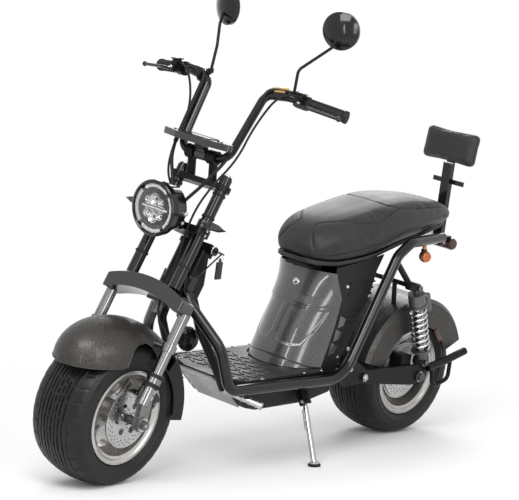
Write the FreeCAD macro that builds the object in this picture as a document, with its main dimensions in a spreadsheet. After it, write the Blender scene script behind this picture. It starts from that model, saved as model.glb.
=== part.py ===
import FreeCAD, Part
import math
import os
import Sketcher
from FreeCAD import Placement, Rotation, Vector

# A fat-tyred two-wheel electric city scooter, parked on its side stand and leaning to its left.
# Row frame: +X forward, +Y to the rider's left, +Z up, millimetres, ground at Z = 0.
# Pieces are drawn upright and then placed by one of these frames:
#   BIKE  the upright machine, origin on the ground midway between the axles, leaned on its stand
#   TURN  the same axes, turned with the handlebar about the steering axis
#   FORK  along the steering axis: u forward of it, y left, w up from where it meets the ground

# Driving dimensions, written to the sheet: alias, value
SIZES = [
    ("wheelbase", 1300.0), ("rear_axle_x", -650.0), ("tyre_radius", 220.0), ("tyre_width", 205.0),
    ("crown_radius", 250.0), ("tread_half", 75.0), ("shoulder_radius", 26.0), ("sidewall_share", 0.52),
    ("rim_share", 0.65), ("rim_half", 90.0), ("bead_drop", 16.0), ("rim_wall", 8.0),
    ("lean_angle", 8.5), ("turned_angle", 4.5), ("rake_angle", 27.0), ("trail", 90.0),
    ("fit_gap", 0.3), ("running_gap", 0.05), ("row_shift_x", 8.0), ("row_shift_y", -180.0),
    ("axle_radius", 8.0), ("hub_radius", 36.0), ("hub_half", 92.0), ("web_half", 14.0),
    ("window_share", 0.15455), ("window_circle_share", 0.35909), ("window_count", 4.0),
    ("disc_radius", 90.0), ("disc_thick", 4.0), ("motor_share", 0.43636),
    ("leg_offset", 52.0), ("leg_spread", 145.0), ("leg_radius", 17.0),
    ("tube_offset", 77.0), ("tube_spread", 85.0), ("tube_radius", 18.0), ("tube_top", 993.0),
    ("crown_low", 560.0), ("crown_high", 606.0), ("crown_rise", 34.0), ("crown_front", 102.0),
    ("crown_back", 28.0), ("crown_half", 154.0),
    ("stem_radius", 14.0), ("head_radius", 26.0), ("head_low", 652.0), ("head_high", 800.0),
    ("yoke_low", 806.0), ("yoke_thick", 22.0), ("bridge_low", 952.0), ("bridge_thick", 18.0),
    ("lamp_radius", 82.5), ("lamp_depth", 104.0), ("lamp_back", 173.0), ("lamp_z", 823.0),
    ("bar_radius", 12.7), ("grip_radius", 17.0), ("grip_length", 128.0),
    ("rail_radius", 17.0), ("rail_half", 180.0), ("floor_z", 286.0), ("deck_thick", 8.0),
    ("mat_thick", 6.0), ("belly_half", 122.0), ("belly_low", 186.0),
    ("tower_half", 138.0), ("skin", 4.0),
    ("pan_thick", 12.0), ("fender_half", 118.0), ("fender_ridge", 344.5), ("fender_nose", 162.0),
    ("fender_skin", 4.0), ("hose_radius", 3.5), ("rear_fender_gap", 38.0),
    ("rear_fender_half", 114.0), ("rear_fender_skirt", 92.0),
    ("shock_y", 150.0), ("spring_radius", 31.0), ("swing_y", 130.0),
]

doc = FreeCAD.newDocument("electric_scooter")
sheet = doc.addObject("Spreadsheet::Sheet", "Sizes")
for row, (alias, value) in enumerate(SIZES, start=1):
    sheet.set("A%d" % row, alias)
    sheet.set("B%d" % row, str(value))
    sheet.setAlias("B%d" % row, alias)
doc.recompute()

Z_AXIS = Vector(0, 0, 1)
SIDES = (1, -1)
parts = []


def size(alias):
    return float(getattr(sheet, alias))


def value(expression):
    return float(sheet.evalExpression(str(expression)))


# Frames
rear_x = size("rear_axle_x")
front_x = rear_x + size("wheelbase")
axis_foot = front_x + size("trail")
lamp_x = axis_foot - size("lamp_back")
rear_guard_radius = size("tyre_radius") + size("rear_fender_gap")
rake = math.radians(size("rake_angle"))
lean = math.radians(size("lean_angle"))
lift = size("crown_radius") * (1 - math.cos(lean))
ROW_SHIFT = Vector(size("row_shift_x"), size("row_shift_y"), 0)
LEANED = Placement(Vector(0, 0, lift), Rotation(Vector(1, 0, 0), -size("lean_angle")))
BIKE = Placement(ROW_SHIFT, Rotation()) * LEANED
RAKED = Placement(Vector(axis_foot, 0, 0), Rotation(Vector(0, 1, 0), -size("rake_angle")))
STEERED = Placement(Vector(), Rotation(Z_AXIS, size("turned_angle")))
TURN = BIKE * RAKED * STEERED * RAKED.inverse()
FORK = BIKE * RAKED * STEERED


def ahead(x, y, z):
    """Upright point whose x is given from the foot of the steering axis."""
    return (axis_foot + x, y, z)


def keep(obj, label, frame, local=None):
    """Name a finished sub-part and put it in the row frame."""
    obj.Label = label
    obj.Placement = frame if local is None else frame * local
    parts.append(obj)
    return obj


# Sketched bodies
def sketch_on(body, plane, name, outline):
    """Closed sketch from rows (across, up[, arc radius to the next point, + turning left])."""
    sketch = body.newObject("Sketcher::SketchObject", name)
    base = [f for f in body.Origin.OriginFeatures if f.Role == plane][0]
    sketch.AttachmentSupport = [(base, "")]
    sketch.MapMode = "FlatFace"
    points = [Vector(value(row[0]), value(row[1]), 0) for row in outline]
    ends = []
    for index, row in enumerate(outline):
        start, end = points[index], points[(index + 1) % len(points)]
        if len(row) == 2:
            sketch.addGeometry(Part.LineSegment(start, end), False)
            ends.append((1, 2))
            continue
        radius = value(row[2])
        chord = end - start
        half = chord.Length / 2
        side = Vector(-chord.y, chord.x, 0).normalize() * math.copysign(1, radius)
        centre = (start + end) * 0.5 + side * math.sqrt(radius * radius - half * half)
        middle = (start + end) * 0.5 - side * (abs(radius) - math.sqrt(radius * radius - half * half))
        first, last = (start, end) if radius > 0 else (end, start)
        arc = Part.Arc(first, middle, last)
        sketch.addGeometry(arc, False)
        ends.append((1, 2) if radius > 0 else (2, 1))
        sketch.addConstraint(Sketcher.Constraint("Radius", index, abs(radius)))
        if "Sizes" in str(row[2]):
            sketch.setExpression("Constraints[%d]" % (sketch.ConstraintCount - 1),
                                 "abs(%s)" % row[2])
    for index in range(len(outline)):
        after = (index + 1) % len(outline)
        sketch.addConstraint(Sketcher.Constraint("Coincident", index, ends[index][1],
                                                 after, ends[after][0]))
        for kind, expression in (("DistanceX", outline[index][0]), ("DistanceY", outline[index][1])):
            number = sketch.addConstraint(Sketcher.Constraint(kind, index, ends[index][0],
                                                              value(expression)))
            if "Sizes" in str(expression):
                sketch.setExpression("Constraints[%d]" % number, str(expression))
    return sketch


def new_body(name):
    return doc.addObject("PartDesign::Body", name)


def revolve(name, outline):
    """Body turned about its own Z from rows (radius, height)."""
    body = new_body(name)
    sketch = sketch_on(body, "XZ_Plane", name + "_profile", outline)
    turned = body.newObject("PartDesign::Revolution", name + "_turned")
    turned.Profile = sketch
    turned.ReferenceAxis = (sketch, ["V_Axis"])
    turned.Angle = 360
    body.Tip = turned
    return body


def plate(name, outline, thick, plane="XY_Plane", midplane=False):
    """Body padded from a closed outline."""
    body = new_body(name)
    sketch = sketch_on(body, plane, name + "_profile", outline)
    pad = body.newObject("PartDesign::Pad", name + "_pad")
    pad.Profile = sketch
    pad.Length = value(thick)
    if "Sizes" in str(thick):
        pad.setExpression("Length", str(thick))
    pad.Midplane = midplane
    body.Tip = pad
    return body


# Primitives bound to the sheet
def cylinder(name, radius, length, place):
    obj = doc.addObject("Part::Cylinder", name)
    for field, expression in (("Radius", radius), ("Height", length)):
        if "Sizes" in str(expression):
            obj.setExpression(field, str(expression))
        else:
            setattr(obj, field, value(expression))
    obj.Placement = place
    return obj


def block(name, length, width, height, corner):
    obj = doc.addObject("Part::Box", name)
    for field, expression in (("Length", length), ("Width", width), ("Height", height)):
        if "Sizes" in str(expression):
            obj.setExpression(field, str(expression))
        else:
            setattr(obj, field, value(expression))
    obj.Placement = Placement(Vector(corner), Rotation())
    return obj


def fuse(name, pieces):
    obj = doc.addObject("Part::MultiFuse", name)
    obj.Shapes = pieces
    return obj


def cut(name, base, tool):
    obj = doc.addObject("Part::Cut", name)
    obj.Base = base
    obj.Tool = tool
    return obj


def made(name, shape):
    """Sub-part whose shape comes from the functions below."""
    obj = doc.addObject("Part::Feature", name)
    obj.Shape = shape
    return obj


# Shapes from lines and arcs
def rounded_path(points, radii):
    """Wire of straight runs joined by tangent arcs; radii belong to the inner points."""
    points = [Vector(p) for p in points]
    edges, last = [], points[0]
    for before, corner, after, radius in zip(points, points[1:], points[2:], radii):
        into = (corner - before).normalize()
        out = (after - corner).normalize()
        turn = into.getAngle(out)
        reach = radius * math.tan(turn / 2)
        start, end = corner - into * reach, corner + out * reach
        inward = (out - into).normalize()
        centre = corner + inward * (radius / math.cos(turn / 2))
        middle = centre - inward * radius
        if (start - last).Length > 1e-6:
            edges.append(Part.LineSegment(last, start).toShape())
        edges.append(Part.Arc(start, middle, end).toShape())
        last = end
    edges.append(Part.LineSegment(last, points[-1]).toShape())
    return Part.Wire(edges)


def tube(points, radii, radius):
    path = rounded_path(points, radii)
    first = Vector(points[1]) - Vector(points[0])
    ring = Part.Wire([Part.makeCircle(radius, Vector(points[0]), first)])
    return path.makePipeShell([ring], True, False)


def rod(start, end, radius):
    start, end = Vector(start), Vector(end)
    return Part.makeCylinder(radius, (end - start).Length, start, end - start)


def mirrored(shape):
    return shape.mirror(Vector(0, 0, 0), Vector(0, 1, 0))


def both_sides(shape):
    return Part.makeCompound([shape, mirrored(shape)])


def slab(outline, low, high, plane="xz"):
    """Prism on a closed outline of points, between low and high along the third axis."""
    if plane == "xz":
        corners = [Vector(a, low, b) for a, b in outline]
        along = Vector(0, high - low, 0)
    elif plane == "xy":
        corners = [Vector(a, b, low) for a, b in outline]
        along = Vector(0, 0, high - low)
    else:
        corners = [Vector(low, a, b) for a, b in outline]
        along = Vector(high - low, 0, 0)
    return Part.Face(Part.makePolygon(corners + corners[:1])).extrude(along)


def rounded(shape, radius, pick):
    """Fillet the edges that pick chooses by their middle point."""
    chosen = [e for e in shape.Edges if pick(e.CenterOfMass)]
    return shape.makeFillet(radius, chosen) if chosen else shape


# Wheels: the rim, its windows and the motor keep their share of the tyre's radius
RIM = "(Sizes.rim_share*Sizes.tyre_radius)"
BEAD = "(Sizes.rim_share*Sizes.tyre_radius-Sizes.bead_drop)"
MOTOR = "(Sizes.motor_share*Sizes.tyre_radius)"
WINDOW = "(Sizes.window_share*Sizes.tyre_radius)"
WINDOW_CIRCLE = "(Sizes.window_circle_share*Sizes.tyre_radius)"
SIDEWALL = "(Sizes.sidewall_share*(Sizes.tyre_radius-%s))" % RIM


def tyre_outline():
    half, edge = "Sizes.tyre_width/2", "(Sizes.rim_half-Sizes.rim_wall+2)"
    crown = "(Sizes.tyre_radius-Sizes.crown_radius+sqrt(Sizes.crown_radius^2-Sizes.tread_half^2))"
    bead = "(%s+Sizes.fit_gap)" % BEAD
    seat = "(Sizes.rim_half-Sizes.rim_wall-Sizes.fit_gap)"
    lip = "(%s+2)" % RIM
    shoulder = "(Sizes.tyre_radius-24)"
    return [
        (bead, "-" + seat),
        (lip, "-" + seat),
        (lip, "-(%s-14)" % half, SIDEWALL),
        (shoulder, "-(%s-5)" % half, "Sizes.shoulder_radius"),
        (crown, "-Sizes.tread_half", "Sizes.crown_radius"),
        (crown, "Sizes.tread_half", "Sizes.shoulder_radius"),
        (shoulder, "(%s-5)" % half, SIDEWALL),
        (lip, "(%s-14)" % half),
        (lip, seat),
        (bead, seat),
    ]


def rim_outline(hub_radius, hub_half, web_half):
    wall = "(Sizes.rim_half-Sizes.rim_wall)"
    inner = "(%s-Sizes.rim_wall)" % BEAD
    bore = "(Sizes.axle_radius+Sizes.running_gap)"
    upper = [
        (bore, hub_half),
        (hub_radius, hub_half),
        (hub_radius, web_half),
        (inner, web_half),
        (inner, wall),
        ("(%s-5)" % RIM, "Sizes.rim_half"),
        (RIM, "Sizes.rim_half"),
        (RIM, wall),
        (BEAD, wall),
    ]
    lower = [(r, "-" + h) for r, h in reversed(upper)]
    return upper + lower


to_left = Rotation(Z_AXIS, Vector(0, 1, 0))
front_axle = Placement(Vector(front_x, 0, size("tyre_radius")), to_left)
rear_axle = Placement(Vector(rear_x, 0, size("tyre_radius")), to_left)

for end, frame, place in (("front", TURN, front_axle), ("rear", BIKE, rear_axle)):
    keep(revolve(end + "_tyre", tyre_outline()), end + "_tyre", frame, place)

front_rim = revolve("front_rim", rim_outline("Sizes.hub_radius", "Sizes.hub_half", "Sizes.web_half"))
doc.recompute()
window = front_rim.newObject("Sketcher::SketchObject", "window_profile")
middle_plane = [f for f in front_rim.Origin.OriginFeatures if f.Role == "XY_Plane"][0]
window.AttachmentSupport = [(middle_plane, "")]
window.MapMode = "FlatFace"
window.addGeometry(Part.Circle(Vector(value(WINDOW_CIRCLE), 0, 0), Z_AXIS, value(WINDOW)), False)
window.addConstraint(Sketcher.Constraint("Radius", 0, value(WINDOW)))
window.setExpression("Constraints[0]", WINDOW)
window.addConstraint(Sketcher.Constraint("DistanceX", 0, 3, value(WINDOW_CIRCLE)))
window.setExpression("Constraints[1]", WINDOW_CIRCLE)
window.addConstraint(Sketcher.Constraint("PointOnObject", 0, 3, -1))
opening = front_rim.newObject("PartDesign::Pocket", "window")
opening.Profile = window
opening.Midplane = True
opening.setExpression("Length", "4*Sizes.web_half")
windows = front_rim.newObject("PartDesign::PolarPattern", "windows")
windows.Originals = [opening]
windows.Axis = (window, ["N_Axis"])
windows.Angle = 360
windows.setExpression("Occurrences", "Sizes.window_count")
front_rim.Tip = windows
keep(front_rim, "front_rim", TURN, front_axle)
keep(revolve("hub_motor", rim_outline(MOTOR, "(Sizes.hub_half-30)", "Sizes.web_half")),
     "hub_motor", BIKE, rear_axle)

for end, frame, place in (("front", TURN, front_axle), ("rear", BIKE, rear_axle)):
    face = "(Sizes.hub_half+Sizes.fit_gap)" if end == "front" else "(Sizes.hub_half-30+Sizes.fit_gap)"
    disc = revolve(end + "_disc", [
        ("(Sizes.axle_radius+6)", face),
        ("Sizes.disc_radius", face),
        ("Sizes.disc_radius", "(%s+Sizes.disc_thick)" % face),
        ("(Sizes.axle_radius+6)", "(%s+Sizes.disc_thick)" % face),
    ])
    keep(disc, end + "_disc", frame, place)

# Front fork
stem = cylinder("stem_bar", "Sizes.stem_radius", "Sizes.yoke_low-Sizes.crown_low",
                Placement(Vector(0, 0, size("crown_low")), Rotation()))

# Where the brake hose passes through the crown, fork axes
HOSE_U, HOSE_Y = 66.0, 46.0


def crown_shape():
    """Arched lower crown: the legs hang under its ends, the upper tubes stand on it."""
    half, low, high = size("crown_half"), size("crown_low"), size("crown_high")
    rise, front, back = size("crown_rise"), size("crown_front"), size("crown_back")
    top = Part.Arc(Vector(back, -half, high), Vector(back, 0, high + rise), Vector(back, half, high))
    under = Part.Arc(Vector(back, half, low), Vector(back, 0, low + rise), Vector(back, -half, low))
    ends = [Part.LineSegment(Vector(back, half, high), Vector(back, half, low)),
            Part.LineSegment(Vector(back, -half, low), Vector(back, -half, high))]
    wire = Part.Wire([top.toShape(), ends[0].toShape(), under.toShape(), ends[1].toShape()])
    band = Part.Face(wire).extrude(Vector(front - back, 0, 0))
    band = rounded(band, 14, lambda p: abs(abs(p.y) - half) < 1)
    boss = Part.makeCylinder(30, high - low, Vector(0, 0, low + rise - 6))
    web = Part.makeBox(back + 6, 60, high - low, Vector(0, -30, low + rise - 6))
    bore = Part.makeCylinder(size("stem_radius") + size("fit_gap"), 200, Vector(0, 0, low - 20))
    hose_bore = Part.makeCylinder(size("hose_radius") + size("fit_gap"), 200,
                                  Vector(HOSE_U, HOSE_Y, low - 20))
    return band.fuse([boss, web]).cut([bore, hose_bore]).removeSplitter()


keep(made("lower_crown", crown_shape()), "lower_crown", FORK)


def yoke_shape(low, thick, front):
    """Plate that clamps both upper tubes and the stem."""
    tube_u, tube_y, ring = size("tube_offset"), size("tube_spread"), size("tube_radius") + 8
    outline = [(-26, -20), (-26, 20), (10, 34), (tube_u - ring, tube_y), (tube_u, tube_y + ring),
               (front, tube_y), (front, -tube_y), (tube_u, -tube_y - ring), (tube_u - ring, -tube_y),
               (10, -34)]
    shape = slab(outline, low, low + thick, "xy")
    for y in (tube_y, -tube_y):
        shape = shape.fuse(Part.makeCylinder(ring, thick, Vector(tube_u, y, low)))
        shape = shape.cut(Part.makeCylinder(size("tube_radius") + size("fit_gap"), thick + 2,
                                            Vector(tube_u, y, low - 1)))
    return shape.removeSplitter()


keep(fuse("stem", [stem, cylinder("stem_nut", 19, 10, Placement(
    Vector(0, 0, size("yoke_low") + size("yoke_thick") + size("fit_gap")), Rotation())),
    cylinder("stem_top", "Sizes.stem_radius", "Sizes.yoke_thick+4",
             Placement(Vector(0, 0, size("yoke_low") - 2), Rotation()))]), "steering_stem", FORK)
yoke = yoke_shape(size("yoke_low"), size("yoke_thick"), 98)
yoke = yoke.cut(Part.makeCylinder(size("stem_radius") + size("fit_gap"), 60,
                                  Vector(0, 0, size("yoke_low") - 10)))


def bridge_shape():
    """Top bridge between the tube caps, with the two risers that grip the handlebar."""
    tube_u, tube_y = size("tube_offset"), size("tube_spread")
    ring = size("tube_radius") + 8
    low, thick = size("bridge_low"), size("bridge_thick")
    plate_solid = Part.makeBox(44, 2 * tube_y, thick, Vector(tube_u - 22, -tube_y, low))
    shape = plate_solid
    for y in (tube_y, -tube_y):
        shape = shape.fuse(Part.makeCylinder(ring, thick, Vector(tube_u, y, low)))
        shape = shape.cut(Part.makeCylinder(size("tube_radius") + size("fit_gap"), thick + 2,
                                            Vector(tube_u, y, low - 1)))
    bar = Vector(BAR_CENTRE)
    for y in (42, -42):
        foot, head = Vector(tube_u, y, low + thick - 4), Vector(bar.x, y, bar.z)
        shape = shape.fuse(rod(foot, head, 13))
        clamp = Part.makeCylinder(size("bar_radius") + 9, 30, head - Vector(0, 15, 0), Vector(0, 1, 0))
        shape = shape.fuse(clamp)
    bore = Part.makeCylinder(size("bar_radius") + size("fit_gap"), 200, bar - Vector(0, 100, 0),
                             Vector(0, 1, 0))
    return shape.cut(bore).removeSplitter()


# Handlebar route, left half, upright axes (x, y, z)
BAR = [ahead(-360.0, 0.0, 975.0), ahead(-360.0, 92.0, 975.0), ahead(-469.0, 110.0, 1176.0),
       ahead(-476.0, 196.0, 1187.0), ahead(-535.0, 362.0, 1165.0)]
BAR_BENDS = [42.0, 30.0, 70.0]
centre_fork = RAKED.inverse().multVec(Vector(*BAR[0]))
BAR_CENTRE = (centre_fork.x, 0.0, centre_fork.z)
keep(made("bar_bridge", bridge_shape()), "bar_bridge", FORK)

bar_points = [(x, -y, z) for x, y, z in reversed(BAR[1:])] + BAR[1:]
keep(made("handlebar", tube(bar_points, list(reversed(BAR_BENDS)) + BAR_BENDS, size("bar_radius"))),
     "handlebar", TURN)


def along_grip(distance):
    """Point on the bar's last straight run, that far in from its end."""
    end, start = Vector(*BAR[-1]), Vector(*BAR[-2])
    return end - (end - start).normalize() * distance


grip_dir = Vector(*BAR[-1]) - Vector(*BAR[-2])
grip_start = along_grip(size("grip_length") - 6)


def grip_shape():
    """Rubber grip over the bar end: closed outer end, ribbed flange at the inner one."""
    length = size("grip_length")
    direction = Vector(grip_dir).normalize()
    outer = Part.makeCylinder(size("grip_radius"), length, grip_start, direction)
    flange = Part.makeCylinder(size("grip_radius") + 4, 6, grip_start, direction)
    cap = Part.makeCylinder(size("grip_radius") + 2, 5, grip_start + direction * (length - 5), direction)
    hollow = Part.makeCylinder(size("bar_radius") + size("fit_gap"), length - 6 + size("fit_gap"),
                               grip_start, direction)
    return outer.fuse([flange, cap]).cut(hollow).removeSplitter()


keep(made("grips", both_sides(grip_shape())), "grips", TURN)


def perch_shape():
    """Lever perch and switch housing clamped round the bar inboard of the grip."""
    direction = Vector(grip_dir).normalize()
    start = along_grip(size("grip_length") + 21)
    body = Part.makeCylinder(size("bar_radius") + 9, 26, start, direction)
    sides = direction.cross(Z_AXIS).normalize()
    tank = rod(start + direction * 4 + sides * 24 + Vector(0, 0, 16),
               start + direction * 23 + sides * 29 + Vector(0, 0, 16), 13)
    arm = rod(start + direction * 13 - Vector(0, 0, 4), start + direction * 13 + sides * 34 - Vector(0, 0, 4), 9)
    bore = Part.makeCylinder(size("bar_radius") + size("fit_gap"), 60, start - direction * 10, direction)
    return body.fuse([tank, arm]).cut(bore).removeSplitter()


keep(made("lever_perches", both_sides(perch_shape())), "lever_perches", TURN)


def lever_shape():
    """Brake lever: blade ahead of the grip, ending in a ball."""
    direction = Vector(grip_dir).normalize()
    sides = direction.cross(Z_AXIS).normalize()
    root = along_grip(size("grip_length") + 8) + sides * 44 - Vector(0, 0, 4)
    knee = along_grip(size("grip_length") - 20) + sides * 58
    tip = along_grip(2) + sides * 62
    blade = tube([root, knee, tip], [40], 5)
    pivot_boss = Part.makeCylinder(9.7, 12, root - Vector(0, 0, 6))
    return blade.fuse([Part.makeSphere(8, tip), pivot_boss]).removeSplitter()


keep(made("brake_levers", both_sides(lever_shape())), "brake_levers", TURN)

# Mirrors, each with its own stem: side, head centre, then the stem's points from the base up
MIRRORS = [
    (1, ahead(-603, 245, 1395), [ahead(-478, 206, 1196), ahead(-478, 208, 1272), ahead(-584, 238, 1345)]),
    (-1, ahead(-550, 150, 1391), [ahead(-478, 118, 1196), ahead(-494, 122, 1276), ahead(-508, 136, 1340)]),
]
mirror_facing = Vector(0.94, 0.28, -0.08).normalize()


BEND, BAR_END = Vector(*BAR[2]), Vector(*BAR[3])
along_top = (BAR_END - BEND).normalize()
# Where each mirror's clamp grips the bar: point and direction
CLAMPS = {
    1: (along_grip(size("grip_length") + 26.5), Vector(grip_dir).normalize()),
    -1: (BEND + along_top * ((142.0 - BEND.y) / along_top.y), along_top),
}


def mirror_stem(side, head_centre, points):
    """Clamp on the bar, its arm and boss, and the bent stem up to the head."""
    bar_at, direction = CLAMPS[side]
    foot = Vector(*points[0]) - Vector(0, 0, 2)
    neck_point = Vector(*head_centre) + mirror_facing * 9
    stem_rod = tube(points + [tuple(neck_point)], [24, 14], 4.5)
    ring = Part.makeCylinder(size("bar_radius") + 7, 10, bar_at - direction * 5, direction)
    arm = rod(bar_at, foot, 6)
    boss = Part.makeCylinder(9, 14, foot, Z_AXIS)
    bore = Part.makeCylinder(size("bar_radius") + size("fit_gap"), 60, bar_at - direction * 30, direction)
    return stem_rod.fuse([ring, arm, boss]).cut(bore).removeSplitter()


def mirror_head(head_centre):
    """Round domed shell whose glass faces back to the rider."""
    centre = Vector(*head_centre)
    shell = Part.makeCylinder(56, 12, centre - mirror_facing * 6, mirror_facing)
    dome = Part.makeSphere(92, centre - mirror_facing * 68)
    front = Part.makeCylinder(56, 30, centre + mirror_facing * 6, mirror_facing)
    return shell.fuse(dome.common(front)).removeSplitter()


stems, heads = [], []
for side, head_centre, points in MIRRORS:
    head_shape = mirror_head(head_centre)
    stem_shape = mirror_stem(side, head_centre, points).cut(head_shape.makeOffsetShape(size("fit_gap"), 0.01))
    stems.append(stem_shape if side > 0 else mirrored(stem_shape))
    heads.append(head_shape if side > 0 else mirrored(head_shape))
keep(made("mirror_stems", Part.makeCompound(stems)), "mirror_stems", TURN)
keep(made("mirror_heads", Part.makeCompound(heads)), "mirror_heads", TURN)

# Display: a flat lozenge above the lamp
display_place = Placement(Vector(*ahead(-326, 0, 1023)), Rotation(Vector(0, 1, 0), -6))
display = plate("display_plate", [
    (-14, -121, 16.0), (14, -121), (36, -60), (36, 60), (14, 121, 16.0), (-14, 121), (-36, 60), (-36, -60),
], 20, midplane=True)
display.Placement = display_place
bar_room = rod((BAR[0][0], -60, BAR[0][2]), (BAR[0][0], 60, BAR[0][2]), size("bar_radius") + size("fit_gap"))
display_arm = rod((BAR[0][0], -20, BAR[0][2]), (BAR[0][0], 20, BAR[0][2]), size("bar_radius") + 5)
arm_side = [(BAR[0][0] + x, z) for x, z in ((-8, 985), (16, 985), (38, 1022), (14, 1022))]
display_arm = display_arm.fuse(slab(arm_side, -16, 16)).cut(bar_room)
keep(fuse("display_unit", [display, made("display_arm", display_arm)]), "display", TURN)

# Upper fork tubes, legs and their lower castings
u_t, y_t = size("tube_offset"), size("tube_spread")


def crown_top(y):
    """Height of the crown's upper face at that distance from the middle."""
    half, rise = size("crown_half"), size("crown_rise")
    arc_radius = (half * half + rise * rise) / (2 * rise)
    return size("crown_high") + rise - arc_radius + math.sqrt(arc_radius ** 2 - y ** 2)


def crown_under(y):
    return crown_top(y) - (size("crown_high") - size("crown_low"))


def upper_tube():
    low = crown_top(y_t - size("tube_radius"))
    shape = Part.makeCylinder(size("tube_radius"), size("tube_top") - low, Vector(u_t, y_t, low))
    cap = Part.makeCylinder(size("tube_radius") - 3, 6, Vector(u_t, y_t, size("tube_top")))
    return shape.fuse(cap).removeSplitter()


keep(made("upper_tubes", both_sides(upper_tube())), "upper_tubes", FORK)
u_l, y_l = size("leg_offset"), size("leg_spread")
axle_fork = RAKED.inverse().multVec(Vector(front_x, 0, size("tyre_radius")))
leg_low, clamp_low = axle_fork.z + 60, axle_fork.z + 96


def leg_shape():
    leg = Part.makeCylinder(size("leg_radius"), crown_under(y_l) + 12 - leg_low, Vector(u_l, y_l, leg_low))
    crown = crown_shape().translated(Vector(0, 0, -size("fit_gap")))
    return max(leg.cut(crown).Solids, key=lambda solid: solid.Volume)


legs = both_sides(leg_shape())
keep(made("fork_legs", legs), "fork_legs", FORK)


def leg_clamp():
    gap = size("fit_gap")
    outer = Part.makeCylinder(size("leg_radius") + 7, 40, Vector(u_l, y_l, clamp_low + 12))
    return outer.cut(Part.makeCylinder(size("leg_radius") + gap, 60, Vector(u_l, y_l, clamp_low)))


def fender_stay():
    """Clamp ring round the leg with an arm in to the fender's side."""
    gap = size("fit_gap")
    ring = Part.makeCylinder(size("leg_radius") + 5, 24, Vector(u_l, y_l, 455))
    arm = rod((u_l, y_l, 467), (u_l, 70, 467), 7)
    skin_solid = fender_ring(size("fender_half") + gap, 90, 133)
    skin_solid.Placement = RAKED.inverse() * skin_solid.Placement
    leg_room = Part.makeCylinder(size("leg_radius") + gap, 80, Vector(u_l, y_l, 430))
    return ring.fuse(arm).cut([skin_solid, leg_room]).removeSplitter()


def lower_casting():
    """Fork end: a socket for the leg, a plate down to the axle eye."""
    gap = size("fit_gap")
    socket = Part.makeCylinder(size("leg_radius") + 6, clamp_low - leg_low + 16,
                               Vector(u_l, y_l, leg_low - 10))
    eye = Part.makeCylinder(24, 22, Vector(axle_fork.x, y_l - 11, axle_fork.z), Vector(0, 1, 0))
    outline = [(axle_fork.x - 22, axle_fork.z - 6), (axle_fork.x + 20, axle_fork.z - 14),
               (u_l + 20, leg_low + 20), (u_l - 20, leg_low + 34)]
    web = slab(outline, y_l - 9, y_l + 9)
    bore = Part.makeCylinder(size("leg_radius") + gap, 200, Vector(u_l, y_l, leg_low - gap))
    hole = Part.makeCylinder(size("axle_radius") + gap, 80, Vector(axle_fork.x, y_l - 40, axle_fork.z),
                             Vector(0, 1, 0))
    return socket.fuse([eye, web]).cut(bore).cut(hole).removeSplitter()


# Front axle with its spacers, then the rear one
spacer = y_l - 11 - size("fit_gap")
disc_face = size("hub_half") + size("fit_gap") + size("disc_thick")


def axle_shape(reach, inner, outer):
    bar = Part.makeCylinder(size("axle_radius"), 2 * reach, Vector(0, 0, -reach))
    shape = bar
    for side in SIDES:
        collar = Part.makeCylinder(13, outer - inner, Vector(0, 0, inner if side > 0 else -outer))
        nut = Part.makeCylinder(14, 9, Vector(0, 0, reach - 9 if side > 0 else -reach), Z_AXIS, 360)
        shape = shape.fuse([collar, nut])
    return shape.removeSplitter()


keep(made("front_axle", axle_shape(y_l + 22, disc_face + 1, spacer)), "front_axle", TURN, front_axle)

# Front brake caliper behind the left leg
def front_caliper():
    """Two-sided block over the disc, with an arm out to the leg's socket, in the fork's axes."""
    disc_y = size("hub_half") + size("fit_gap") + size("disc_thick") / 2
    body = rounded(Part.makeBox(40, 44, 66, Vector(-20, -22, -33)), 7, lambda p: abs(p.z) > 32)
    body = body.cut(Part.makeBox(60, 14, 90, Vector(-2, -7, -45)))
    body.Placement = RAKED.inverse() * Placement(
        Vector(front_x - 76, disc_y, size("tyre_radius") + 58), Rotation(Vector(0, 1, 0), 38))
    centre = body.Placement.Base
    arm = Part.makeBox(u_l - centre.x + 6, 16, 28, Vector(centre.x - 6, disc_y + 18, centre.z - 14))
    socket_room = Part.makeCylinder(size("leg_radius") + 6 + size("fit_gap"), 300, Vector(u_l, y_l, 200))
    return body.fuse(arm).cut(socket_room).removeSplitter()


keep(made("front_caliper", front_caliper()), "front_caliper", FORK)

# Front fender: half of a ring about its own centre, then a stretched half ball for the nose
FENDER_X, FENDER_Z = front_x + 45.7, size("tyre_radius") - 57.7


def fender_ring(minor, start, stop):
    """Solid half ring of round section, angles in degrees from +X towards +Z, upright axes."""
    middle = size("fender_ridge") - size("fender_half")
    outer = Part.makeTorus(middle, minor, Vector(), Vector(0, -1, 0))
    core = Part.makeCylinder(middle, 4 * minor, Vector(0, -2 * minor, 0), Vector(0, 1, 0))
    corner = [(0, 0)] + [(900 * math.cos(math.radians(a)), 900 * math.sin(math.radians(a)))
                         for a in (start, (start + stop) / 2, stop)]
    shape = outer.cut(core).common(slab(corner, -300, 300))
    shape.translate(Vector(FENDER_X, 0, FENDER_Z))
    return shape


def fender_ball(minor, length):
    stretch = FreeCAD.Matrix()
    stretch.scale(length / minor, 1, 1)
    ball = Part.makeSphere(minor).transformGeometry(stretch)
    ball = ball.common(Part.makeBox(400, 400, 400, Vector(0, -200, 0)))
    ball.translate(Vector(FENDER_X, 0, FENDER_Z + size("fender_ridge") - size("fender_half")))
    return ball


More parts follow.
